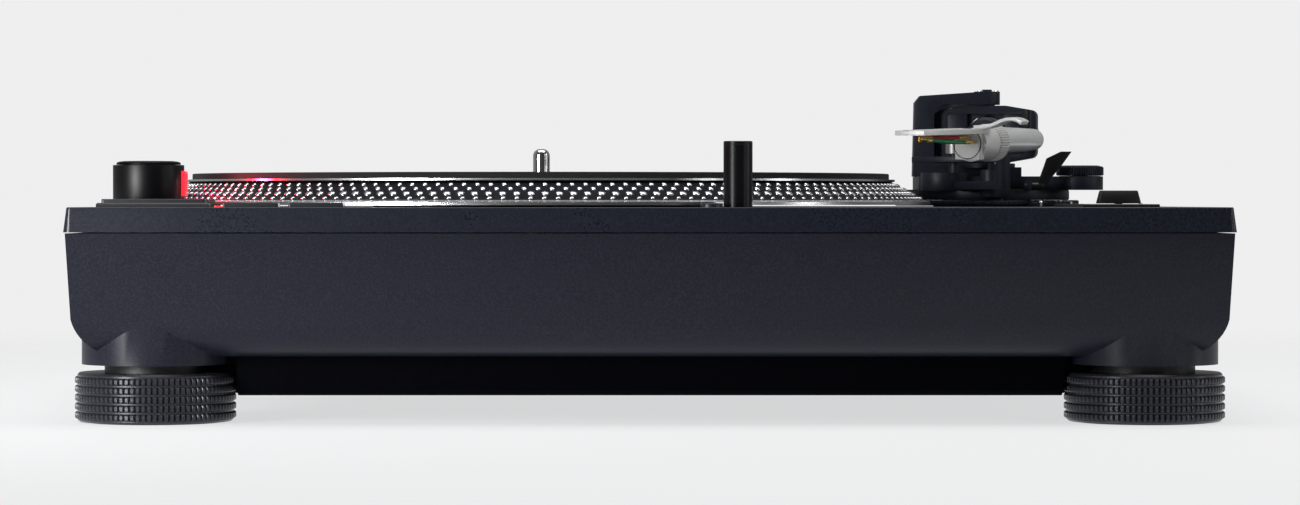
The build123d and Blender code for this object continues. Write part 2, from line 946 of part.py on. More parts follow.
def pitch_fader():
    """The slide control's body under the deck."""
    half = pitch_plate_length / 2 - fader_end
    body = block(pitch_x - fader_width / 2, pitch_x + fader_width / 2,
                 pitch_y - half, pitch_y + half, plate_z - fader_height, plate_z)
    return body - pitch_slot_cut(plate_z - fader_height + fader_floor, plate_z + 1)


def pitch_knob():
    """The pitch slider: a tapered knob with a finger groove, on a flat stem."""
    low_z = deck + pitch_plate_height + pitch_knob_gap
    base = Pos(pitch_x, pitch_y, low_z) * Rectangle(pitch_knob_base, pitch_knob_length)
    tip = Pos(pitch_x, pitch_y, low_z + pitch_knob_height)
    knob = loft([base, tip * Rectangle(pitch_knob_top, pitch_knob_top_length)])
    groove_z = low_z + pitch_knob_height - pitch_groove_depth + pitch_groove_radius
    knob -= rod(pitch_groove_radius, pitch_x - pitch_knob_base, pitch_x + pitch_knob_base, pitch_y, groove_z)
    half = pitch_stem_length / 2
    stem = block(pitch_x - pitch_stem / 2, pitch_x + pitch_stem / 2, pitch_y - half, pitch_y + half,
                 plate_z - pitch_stem_reach, low_z + 1)
    return knob + stem


def pitch_button(side):
    """A small round button flush with the pitch plate."""
    top = deck + pitch_plate_height - pitch_button_sink
    y = pitch_y + side * pitch_button_reach
    body = cylinder(pitch_button_radius, top - pitch_button_depth, top, pitch_button_x, y)
    return chamfer(body.faces().sort_by(Axis.Z)[-1].edges(), pitch_plate_edge)


# Feet

def foot_shell(x, y):
    """The turning part of a foot: a cup with five knurled rings."""
    pitch = foot_ring_rise + foot_ring_groove
    band = foot_ring_count * pitch - foot_ring_groove
    start = (foot_height - band) / 2
    points = [(0, 0), (foot_radius - foot_chamfer - foot_groove_depth, 0)]
    points.append((foot_radius - foot_groove_depth, foot_chamfer))
    for index in range(foot_ring_count):
        z = start + index * pitch
        points.append((foot_radius - foot_groove_depth, z))
        points.append((foot_radius, z + foot_groove_depth / 2))
        points.append((foot_radius, z + foot_ring_rise - foot_groove_depth / 2))
        points.append((foot_radius - foot_groove_depth, z + foot_ring_rise))
    points.append((foot_radius - foot_groove_depth, foot_height - foot_chamfer))
    points.append((foot_radius - foot_chamfer - foot_groove_depth, foot_height))
    points.append((neck_radius + running, foot_height))
    points.append((neck_radius + running, foot_floor))
    points.append((0, foot_floor))
    return turned(points, x, y)


def foot_core(x, y):
    """The part of a foot that rises and falls in the boss."""
    return cylinder(neck_radius, foot_floor + clear, boss_z + neck_in_boss, x, y)


# Tonearm base

def arm_mount():
    """The flanged sleeve in the deck that guides the arm's base."""
    sleeve = cylinder(mount_sleeve, deck - mount_sleeve_length, arm_ring_z + ring_height, pivot_x, pivot_y)
    sleeve += cylinder(mount_flange, deck - mount_flange_height, deck, pivot_x, pivot_y)
    return sleeve - cylinder(stem_radius + running, 0, arm_disc_z, pivot_x, pivot_y)


def height_ring():
    """The knurled ring that raises the arm's base."""
    ring = cylinder(ring_radius, arm_ring_z, arm_ring_z + ring_height, pivot_x, pivot_y)
    ring = chamfer(ring.faces().sort_by(Axis.Z)[-1].edges(), ring_edge)
    return ring - cylinder(mount_sleeve + running, deck, arm_disc_z, pivot_x, pivot_y)


def height_lock_lever():
    """The low round lock with a finger tab."""
    low_z = deck + clear
    disc = cylinder(lock_radius, low_z, low_z + ring_height, lock_x, lock_y)
    half = lock_tab_width / 2
    tab = block(0, lock_radius + lock_tab, -half, half, 0, ring_height - lock_tab_step)
    disc += Pos(lock_x, lock_y, low_z) * Rot(0, 0, -lock_tab_angle) * tab
    return disc + cylinder(lock_pin, deck - lock_pin_depth + clear, low_z, lock_x, lock_y)


def platform():
    """The raised platform on the arm's base, with its drum and the dial's pod."""
    top = platform_top
    body = block(platform_left, platform_right, platform_front, platform_back, platform_z, top)
    body = fillet(body.edges().filter_by(Axis.Z), platform_corner)
    body &= cylinder(disc_radius + platform_overhang, platform_z - 1, top + 1, pivot_x, pivot_y)
    body += cylinder(drum_radius, platform_z, platform_z + drum_height, drum_x, drum_y)
    pod_low = platform_z + pod_gap
    body += cylinder(pod_radius, pod_low, top, pod_x, pod_y)
    body += block(platform_right - pod_arm_length, pod_x, pod_y - pod_arm_inset,
                  pod_y + pod_radius - pod_arm_inset, pod_low, top)
    return body


def lifter_place():
    """Where the lifter's post stands in plan."""
    turn = math.radians(lifter_from)
    return pivot_x - lifter_circle * math.sin(turn), pivot_y - lifter_circle * math.cos(turn)


def lifter_rod_bottom():
    """The lower end of the lifter's rod."""
    return deck + lifter_top - lifter_thickness - lifter_travel - lifter_rod_grip


def arm_base():
    """The arm's base: stem, disc, platform, lifter post and lever ear."""
    body = cylinder(disc_radius, arm_disc_z, platform_z, pivot_x, pivot_y)
    body += cylinder(stem_radius, deck - stem_length, arm_disc_z + 1, pivot_x, pivot_y)
    body += platform()
    post_x, post_y = lifter_place()
    body += cylinder(lifter_post, arm_disc_z + 1, platform_z + lifter_post_height, post_x, post_y)
    body += block(post_x - lifter_foot_half, post_x + lifter_foot_half, post_y,
                  platform_front + lifter_foot_overlap, arm_disc_z + 1, platform_z + lifter_foot_height)
    bore_floor = lifter_rod_bottom() - lifter_travel - clear
    body -= cylinder(lifter_neck + running, bore_floor, pivot_height, post_x, post_y)
    ear_x = lever_x - lever_hub_length / 2 - clear
    ear_z = deck + lever_z
    body += block(ear_x - ear_thickness, ear_x, lever_y - ear_ahead, platform_front + ear_overlap,
                  ear_z - ear_half_height + ear_step, ear_z + ear_half_height)
    body -= rod(lever_pin + running, ear_x - ear_thickness - 1, ear_x + 1, lever_y, ear_z)
    body += cylinder(dial_pin, platform_top, platform_top + dial_height, pod_x, pod_y)
    return body


def anti_skate_dial():
    """The knurled anti-skating dial on its pin."""
    low_z = platform_top + clear
    dial = cylinder(dial_radius, low_z, low_z + dial_height, pod_x, pod_y)
    dial = chamfer(dial.faces().sort_by(Axis.Z)[-1].edges(), dial_edge)
    pin_top = platform_top + dial_height + clear / 2
    return dial - cylinder(dial_pin + running, low_z - 1, pin_top, pod_x, pod_y)


def lifter_bar():
    """The curved bar that lifts the tube, on its rod."""
    top = deck + lifter_top
    bar = cylinder(lifter_circle + lifter_width / 2, top - lifter_thickness, top)
    bar -= cylinder(lifter_circle - lifter_width / 2, top - lifter_thickness - 1, top + 1)
    reach = lifter_circle * 2
    first = -90 - lifter_from
    last = -90 - lifter_to
    middle = (first + last) / 2
    corner = [(0, 0)]
    for angle in (first, middle, last):
        turn = math.radians(angle)
        corner.append((reach * math.cos(turn), reach * math.sin(turn)))
    wedge = Pos(0, 0, top - lifter_thickness - 1) * make_face(Polyline(*corner, close=True))
    wedge = extrude(wedge, lifter_thickness + 2)
    bar = Pos(pivot_x, pivot_y, 0) * (bar & wedge)
    post_x, post_y = lifter_place()
    bar += cylinder(lifter_width / 2, top - lifter_thickness, top, post_x, post_y)
    return bar + cylinder(lifter_neck, lifter_rod_bottom(), top - 1, post_x, post_y)


def cue_lever():
    """The cueing lever: hub, pin, arm and slanted paddle."""
    hub_z = deck + lever_z
    half = lever_hub_length / 2
    lever = rod(lever_hub, lever_x - half, lever_x + half, lever_y, hub_z)
    lever += rod(lever_pin, lever_x - half - clear - ear_thickness - lever_pin_end, lever_x, lever_y, hub_z)
    tip_back = (paddle_tip[0] - paddle_tip_flat, paddle_tip[1])
    outline = [(0, paddle_root), paddle_heel, paddle_knee, tip_back, paddle_tip, paddle_nose,
               (paddle_toe, paddle_root)]
    face = make_face(Plane.XZ * Polyline(*outline, close=True))
    paddle = extrude(face, paddle_thickness / 2, both=True)
    return lever + Pos(lever_x, lever_y, hub_z) * paddle


def gimbal_yoke():
    """The bridge over the gimbal, with the two upright pivot pins."""
    left = -yoke_left
    top = gimbal_half_height + yoke_gap + yoke_beam
    under = gimbal_half_height + yoke_gap
    foot_z = platform_top - pivot_height
    outline = [
        (left, foot_z),
        (yoke_foot_right, foot_z),
        (yoke_foot_right, foot_z + yoke_foot_height),
        (left + yoke_leg, foot_z + yoke_foot_height),
        (left + yoke_leg, under - yoke_gusset),
        (left + yoke_leg + yoke_gusset, under),
        (0, under),
        (0, top),
        (left + yoke_shoulder[0], top - yoke_shoulder[1]),
        (left + yoke_corner[0], top - yoke_corner[1]),
    ]
    body = extrude(make_face(Plane.XZ * Polyline(*outline, close=True)), yoke_half_depth, both=True)
    body += cylinder(yoke_half_depth, under, top)
    pin_low = foot_z + yoke_foot_height
    body += cylinder(pivot_pin, pin_low - 1, -gimbal_half_height + pivot_pin_reach)
    body += cylinder(pivot_pin, gimbal_half_height - pivot_pin_reach, under + 1)
    screw = cylinder(yoke_screw_radius, top, top + yoke_screw_height)
    slot_floor = top + yoke_screw_height - yoke_slot_depth
    screw -= block(-yoke_half_depth, yoke_half_depth, -yoke_screw_slot / 2, yoke_screw_slot / 2,
                   slot_floor, slot_floor + 1)
    body += screw
    return Pos(pivot_x, pivot_y, pivot_height) * body


def gimbal_ring():
    """The ring between yoke and arm: upright pivots in the yoke, level pivots on the arm."""
    wide = gimbal_half_width
    tall = gimbal_half_height
    end = gimbal_end_half_height
    flat = gimbal_flat
    outline = [(-wide, -end), (-flat, -tall), (flat, -tall), (wide, -end),
               (wide, end), (flat, tall), (-flat, tall), (-wide, end)]
    face = make_face(Plane.YZ * Polyline(*outline, close=True))
    body = extrude(face, gimbal_half_depth, both=True)
    body = fillet(body.edges().filter_by(Axis.X).group_by(Axis.Y)[0], gimbal_corner)
    body = fillet(body.edges().filter_by(Axis.X).group_by(Axis.Y)[-1], gimbal_corner)
    window = gimbal_window_half_height
    inner = wide - gimbal_wall
    body -= block(-wide, wide, -inner, inner, -window, window)
    for side in (-1, 1):
        pin = Rot(0, 0, 90) * rod(pivot_pin, housing_radius - pivot_pin_reach, inner + 1)
        body += pin if side > 0 else Rot(0, 0, 180) * pin
        bore = cylinder(pivot_pin + running, tall - pivot_pin_reach - clear, tall + 1)
        body -= bore if side > 0 else Rot(180, 0, 0) * bore
    return gimbal_frame() * body


# Arm

def tube_path():
    """The tube's S-shaped line, in the arm's frame."""
    points = [(-tube_back, 0), (first_bend, 0), (bulge_along, bulge_out), socket_point()]
    return FilletPolyline(*points, radius=[first_bend_radius, bulge_radius])


def arm_tube():
    """The S-shaped tube with the pivot housing at its root."""
    path = tube_path()
    start = Plane(origin=(-tube_back, 0, 0), z_dir=(1, 0, 0))
    tube = sweep(start * Circle(tube_radius), path=path)
    housing = rod(housing_radius, -housing_half_length, housing_half_length)
    housing = chamfer(housing.edges().filter_by(GeomType.CIRCLE), housing_edge)
    tube += housing
    tube -= sweep(start * Circle(tube_bore), path=path)
    for side in (-1, 1):
        bore = rod(pivot_pin + running, housing_radius - pivot_pin_reach - clear, housing_radius + 1)
        tube -= Rot(0, 0, 90 * side) * bore
    along, out = socket_point()
    plug = rod(plug_radius + sliding, -plug_length - clear, 1)
    tube -= Pos(along, out, 0) * Rot(0, 0, -offset_angle) * plug
    room_end = spigot_length + spigot_room - housing_half_length
    tube -= rod(shaft_radius - spigot_step + screw_fit, -housing_half_length - 1, room_end)
    return arm_frame() * tube


def weight_shaft():
    """The shaft behind the pivots that carries the counterweight."""
    shaft = rod(shaft_radius, -shaft_end, -housing_half_length)
    shaft += rod(shaft_radius - spigot_step, -housing_half_length - 1, spigot_length - housing_half_length)
    return arm_frame() * chamfer(shaft.faces().sort_by(Axis.X)[0].edges(), shaft_edge)


def weight_bush():
    """The bush that runs along the shaft with the counterweight."""
    bush = rod(bush_radius, -bush_front - bush_length, -bush_front)
    return arm_frame() * (bush - rod(shaft_radius + running, -shaft_end - 1, 0))


def counterweight():
    """The knurled counterweight."""
    weight = rod(weight_radius, -weight_front - weight_length, -weight_front)
    weight = chamfer(weight.edges().filter_by(GeomType.CIRCLE), weight_edge)
    return arm_frame() * (weight - rod(bush_radius + running, -shaft_end - 1, 0))


def force_dial():
    """The tracking force dial in front of the counterweight."""
    front = weight_front - clear
    dial = rod(force_dial_radius, -front, -front + force_dial_length)
    return arm_frame() * (dial - rod(bush_radius + running, -shaft_end - 1, 0))


def headshell_nut():
    """The knurled nut that locks the headshell."""
    nut = rod(nut_radius, -nut_length, 0)
    nut = chamfer(nut.edges().filter_by(GeomType.CIRCLE), nut_edge)
    return head_frame() * (nut - rod(tube_radius + running, -nut_length - 1, 1))


def headshell():
    """The headshell: plug, round socket, terminal block and slotted plate."""
    body = rod(socket_radius, clear, socket_length)
    body += rod(plug_radius, -plug_length, clear + 1)
    low_z = shell_plate_top - shell_plate_thickness
    wide = shell_plate_half_width
    tip = shell_plate_tip_half_width
    end = shell_plate_length
    shoulder = shell_plate_start + shell_plate_corner[0]
    neck = wide - shell_plate_corner[1]
    taper = end - shell_plate_taper
    outline = [(shell_plate_start, -neck), (shoulder, -wide), (taper, -wide), (end, -tip),
               (end, tip), (taper, wide), (shoulder, wide), (shell_plate_start, neck)]
    body += extrude(Pos(0, 0, low_z) * make_face(Polyline(*outline, close=True)), shell_plate_thickness)
    body += block(socket_length - 1, socket_length + terminal_depth, -terminal_half_width,
                  terminal_half_width, -terminal_drop, low_z + terminal_overlap)
    body -= block(0, socket_length + 1, -socket_radius, socket_radius, shell_plate_top, socket_radius + 1)
    for side in (-1, 1):
        for index in (0, 1):
            middle = headshell_reach - slot_ahead - index * slot_pitch
            slot = Pos(middle, side * slot_spacing / 2, low_z - 1) * SlotOverall(slot_length, slot_width)
            body -= extrude(slot, shell_plate_thickness + 2)
    return head_frame() * body


def finger_lift():
    """The arched finger lift on the headshell's outer side."""
    root = shell_plate_half_width - finger_root
    tip = shell_plate_half_width + finger_reach
    z = shell_plate_top
    heel = shell_plate_half_width + finger_undercut
    toe = tip - finger_tip_slant
    peak = (shell_plate_half_width + finger_reach * finger_peak_share, z + finger_arch)
    thick = finger_thickness
    upper = Spline((shell_plate_half_width, z + thick), (peak[0], peak[1] + thick / 2),
                   (tip, z + finger_end + thick), tangents=[(1, 0.1), (1, -0.8)])
    lower = Spline((toe, z + finger_end), (peak[0], peak[1] - thick / 2),
                   (heel, z), tangents=[(-1, 0.8), (-1, -0.1)])
    lines = [
        Line((root, z), (root, z + thick)),
        Line((root, z + thick), (shell_plate_half_width, z + thick)),
        upper,
        Line((tip, z + finger_end + thick), (toe, z + finger_end)),
        lower,
        Line((heel, z), (root, z)),
    ]
    strip = extrude(Plane.YZ * make_face(lines), finger_width)
    return head_frame() * Pos(shell_plate_start + finger_from, 0, 0) * strip


def headshell_leads():
    """The four short leads from the socket's terminals towards the cartridge."""
    start = socket_length + terminal_depth
    ceiling = shell_plate_top - shell_plate_thickness - clear - lead_radius
    leads = []
    for index, (out, level) in enumerate(zip(terminal_outs, terminal_levels)):
        end = start + lead_reach + index * lead_step
        points = [
            (start, out, level),
            (start + lead_straight, out, level),
            (start + lead_sag_at, out * lead_spread, level - lead_sag),
            (end - lead_rise_at, out * lead_gather, ceiling - lead_rise),
            (end, out * lead_end_gather, ceiling),
        ]
        path = FilletPolyline(*points, radius=lead_bend)
        leads.append(sweep(Plane(origin=points[0], z_dir=(1, 0, 0)) * Circle(lead_radius), path=path))
    return head_frame() * Compound(children=leads)


# Arm rest

def rest_point():
    """Where the tube lies in its rest, in the arm's frame."""
    slope = bulge_out / (bulge_along - first_bend)
    return rest_along, (rest_along - first_bend) * slope


def rest_frame():
    """A level frame under the tube at the arm rest, square to the tube in plan."""
    along, out = rest_point()
    drop = rest_along * math.sin(math.radians(arm_droop))
    turn = math.degrees(math.atan2(bulge_out, bulge_along - first_bend))
    return gimbal_frame() * Pos(along, out, -drop) * Rot(0, 0, turn)


def arm_rest():
    """The arm rest: a carrier arm from the base, a post and a cradle under the tube."""
    frame = rest_frame()
    seat = -tube_radius - clear
    foot = frame.position
    low_z = platform_z + rest_arm_lift
    half = rest_cradle_half
    length = rest_cradle_length / 2
    wall_top = seat + rest_wall_height
    cradle = cylinder(rest_post, low_z - foot.Z, seat - rest_floor + rest_post_overlap)
    cradle += block(-length, length, -half, half + rest_wall, seat - rest_floor, seat)
    cradle += block(-length, length, half, half + rest_wall, seat - rest_wall_overlap, wall_top)
    cradle -= rod(clip_pin + running, -length - 1, length + 1, half + rest_wall / 2, clip_height())
    run_x = foot.X - rest_root_x
    run_y = foot.Y - rest_root_y
    reach = math.hypot(run_x, run_y)
    arm = block(0, reach, -rest_arm_width / 2, rest_arm_width / 2, low_z, low_z + rest_arm_height)
    arm = Pos(rest_root_x, rest_root_y, 0) * Rot(0, 0, math.degrees(math.atan2(run_y, run_x))) * arm
    arm += cylinder(rest_arm_width / 2, low_z, low_z + rest_arm_height, foot.X, foot.Y)
    return frame * cradle + arm - platform()


def clip_height():
    """The clip's pin above the tube's centre, in the rest's frame."""
    return rest_wall_height - tube_radius - clear - clip_drop


def arm_rest_clip():
    """The clip that closes over the tube, shown open."""
    pin_z = clip_height()
    out = rest_cradle_half + rest_wall / 2
    inner = rest_cradle_length / 2 + clip_gap
    outer = inner + clip_thickness
    far = out + clip_offset
    clip = rod(clip_pin, -outer, outer, out, pin_z)
    for x_low, x_high in ((-outer, -inner), (inner, outer)):
        clip += block(x_low, x_high, out - clip_cheek, far + clip_thickness,
                      pin_z - clip_cheek, pin_z + clip_cheek)
    clip += block(-outer, outer, far, far + clip_thickness, pin_z - clip_cheek, pin_z + clip_reach)
    return rest_frame() * clip


# Rear and inside

def hinge_sockets():
    """The two sockets that hold the dust cover's hinges, open at the top."""
    sockets = []
    for side in (-1, 1):
        x = side * socket_x
        half = hinge_width / 2 - hinge_fit
        y_low = rear_y - hinge_depth + hinge_fit
        y_high = rear_y
        body = block(x - half, x + half, y_low, y_high, deck - hinge_height + hinge_fit, deck)
        middle = (y_low + y_high) / 2
        body -= block(x - hinge_slot_width / 2, x + hinge_slot_width / 2, middle - hinge_slot / 2,
                      middle + hinge_slot / 2, deck - hinge_slot_depth, deck + 1)
        sockets.append(body)
    return Compound(children=sockets)


def bay_tray(x, width, height, depth):
    """A plastic tray that lines a bay in the rear wall, open to the back."""
    wall = terminal_bay_wall
    z_low = crease_z + terminal_bay_lift
    outer = block(x - width / 2, x + width / 2, rear_y - depth, rear_y - terminal_bay_sink,
                  z_low, z_low + height)
    inner = block(x - width / 2 + wall, x + width / 2 - wall, rear_y - depth + wall, rear_y + 1,
                  z_low + wall, z_low + height - wall)
    return outer - inner


def jack(x, z, radius, length, floor_y):
    """A round terminal pointing to the back, rooted in the tray's wall."""
    root = terminal_bay_wall / 2
    return Pos(x, floor_y - root, z) * Rot(-90, 0, 0) * Cylinder(radius, length + root, align=low)


def phono_terminals():
    """The audio terminals: two round jacks and an earth post in their bay."""
    tray = bay_tray(terminal_bay_x, terminal_bay_width, terminal_bay_height, terminal_bay_depth)
    floor_y = rear_y - terminal_bay_depth + terminal_bay_wall
    z = crease_z + terminal_bay_lift + terminal_bay_height / 2
    for side in (-1, 1):
        tray += jack(terminal_bay_x + side * jack_spacing / 2, z, jack_radius, jack_length, floor_y)
    tray += jack(terminal_bay_x + 2 * jack_spacing, z, earth_post_radius, jack_length, floor_y)
    return tray


def power_inlet():
    """The mains inlet: a tray with two pins."""
    tray = bay_tray(inlet_x, inlet_width, inlet_height, inlet_depth)
    floor_y = rear_y - inlet_depth + terminal_bay_wall
    z = crease_z + terminal_bay_lift + inlet_height / 2
    for side in (-1, 1):
        tray += jack(inlet_x + side * inlet_pin_spacing / 2, z, inlet_pin_radius,
                     inlet_pin_length, floor_y)
    return tray


def board(x_low, x_high, y_low, y_high, parts):
    """A circuit board on pillars, with its larger components."""
    z = shell_z + board_lift
    solid = block(x_low, x_high, y_low, y_high, z, z + board_thickness)
    for x in (x_low + pillar_inset, x_high - pillar_inset):
        for y in (y_low + pillar_inset, y_high - pillar_inset):
            solid += cylinder(pillar_radius, shell_z, z, x, y)
    for x, y, (wide, deep, tall) in parts:
        solid += block(x - wide / 2, x + wide / 2, y - deep / 2, y + deep / 2, z, z + board_thickness + tall)
    return solid


def circuit_boards():
    """The power supply and the motor drive boards."""
    left = -opening_half_x + supply_from_side
    back = opening_half_y - supply_from_back
    transformer = (left + supply_width * 0.25, back - supply_depth * 0.7, transformer_size)
    capacitor = (left + supply_width * 0.7, back - supply_depth * 0.7, capacitor_size)
    heat_sink = (left + supply_width * 0.4, back - supply_depth * 0.25, heat_sink_size)
    supply = board(left, left + supply_width, back - supply_depth, back,
                   [transformer, capacitor, heat_sink])
    right = platter_x + drive_reach
    front = -opening_half_y + drive_from_front
    processor = (right - drive_width * 0.7, front + drive_depth * 0.55, processor_size)
    driver = (right - drive_width * 0.3, front + drive_depth * 0.4, driver_size)
    plug_row = (right - drive_width * 0.3, front + drive_depth * 0.8, plug_row_size)
    drive = board(right - drive_width, right, front, front + drive_depth, [processor, driver, plug_row])
    return Compound(children=[supply, drive])


def foot_name(sx, sy):
    """A foot's place in words."""
    return ("front" if sy < 0 else "rear") + "_" + ("left" if sx < 0 else "right")


def all_parts():
    """Every sub-part by name."""
    makers = [top_plate, cabinet_shell, base_pan, case_screws, stator_board, stator_coils, spindle_bearing,
              strobe_tower, strobe_lens, button_bezel, pitch_plate, pitch_fader, circuit_boards,
              power_inlet, phono_terminals, hinge_sockets, target_light_sleeve, arm_mount, record_adaptor,
              platter, platter_mat, spindle, rotor_magnet, power_knob, start_stop_button,
              speed_33_button, speed_45_button, pitch_knob, target_light, target_release_button,
              arm_base, gimbal_yoke, arm_rest, height_ring, height_lock_lever, anti_skate_dial,
              cue_lever, lifter_bar, arm_rest_clip, gimbal_ring, arm_tube, weight_shaft, headshell,
              finger_lift, headshell_leads, headshell_nut, weight_bush, counterweight, force_dial]
    parts = {maker.__name__: maker() for maker in makers}
    parts["pitch_reset_button"] = pitch_button(-1)
    parts["pitch_range_button"] = pitch_button(1)
    for sx, sy in corners:
        parts["foot_shell_" + foot_name(sx, sy)] = foot_shell(sx * foot_x, sy * foot_y)
        parts["foot_core_" + foot_name(sx, sy)] = foot_core(sx * foot_x, sy * foot_y)
    return parts


os.makedirs("parts", exist_ok=True)
for name, solid in all_parts().items():
    export_step(solid, "parts/" + name + ".step")
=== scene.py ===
"""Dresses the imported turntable: finishes for its solids, and the fine pieces that they leave out."""
import json
import logging
import math
from dataclasses import dataclass
from enum import Enum, IntEnum
from typing import Callable, ClassVar, Sequence

import bmesh
import bpy
from mathutils import Matrix, Vector


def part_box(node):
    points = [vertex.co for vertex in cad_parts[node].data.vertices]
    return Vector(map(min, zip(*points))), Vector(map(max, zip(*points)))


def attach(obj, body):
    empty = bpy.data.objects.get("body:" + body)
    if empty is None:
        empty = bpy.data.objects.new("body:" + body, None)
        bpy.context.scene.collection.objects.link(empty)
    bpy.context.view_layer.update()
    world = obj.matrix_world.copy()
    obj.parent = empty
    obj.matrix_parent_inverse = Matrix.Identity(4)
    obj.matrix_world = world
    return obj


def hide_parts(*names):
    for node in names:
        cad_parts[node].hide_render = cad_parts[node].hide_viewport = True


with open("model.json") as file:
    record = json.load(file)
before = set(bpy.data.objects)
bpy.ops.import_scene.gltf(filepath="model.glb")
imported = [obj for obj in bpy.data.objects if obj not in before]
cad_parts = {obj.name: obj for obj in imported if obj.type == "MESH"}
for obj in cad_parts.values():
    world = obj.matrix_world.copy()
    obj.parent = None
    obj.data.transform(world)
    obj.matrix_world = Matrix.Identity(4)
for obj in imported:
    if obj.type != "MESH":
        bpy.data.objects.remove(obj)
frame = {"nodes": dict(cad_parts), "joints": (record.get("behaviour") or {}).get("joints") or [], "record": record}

log = logging.getLogger("turntable")
MM = 0.001  # metres in a millimetre
TURN = 2 * math.pi
ONE_POINT = 0.002  # points of a turned piece that lie closer than this are the same point
FINE_EDGE = 0.02  # the bevel of a thin inlaid bar
TICK_EDGE = 0.01  # the bevel of a scale's printed line
ALL_ROUND = 60.0  # the crisp angle of dots and wires, whose shape is round all over
KNURL_CRISP = 40.0  # the crisp angle of the arm's knurled rings
PRINT_SINK = 0.02  # how far a print reaches into its surface
PRINT_RISE = 0.03  # how far a print stands out of its surface
Colour = tuple[float, float, float]
Profile = Sequence[tuple[float, float]]


# The modelling bench

class Sides(IntEnum):
    """How many sides a turned piece has, by what it is."""
    PIN = 16
    SCREW = 20
    SOCKET = 24
    WINDOW = 28
    BUSH = 32
    POST = 40
    SLEEVE = 48
    COLUMN = 64
    COLLAR = 72
    WASHER = 96
    DIAL = 180


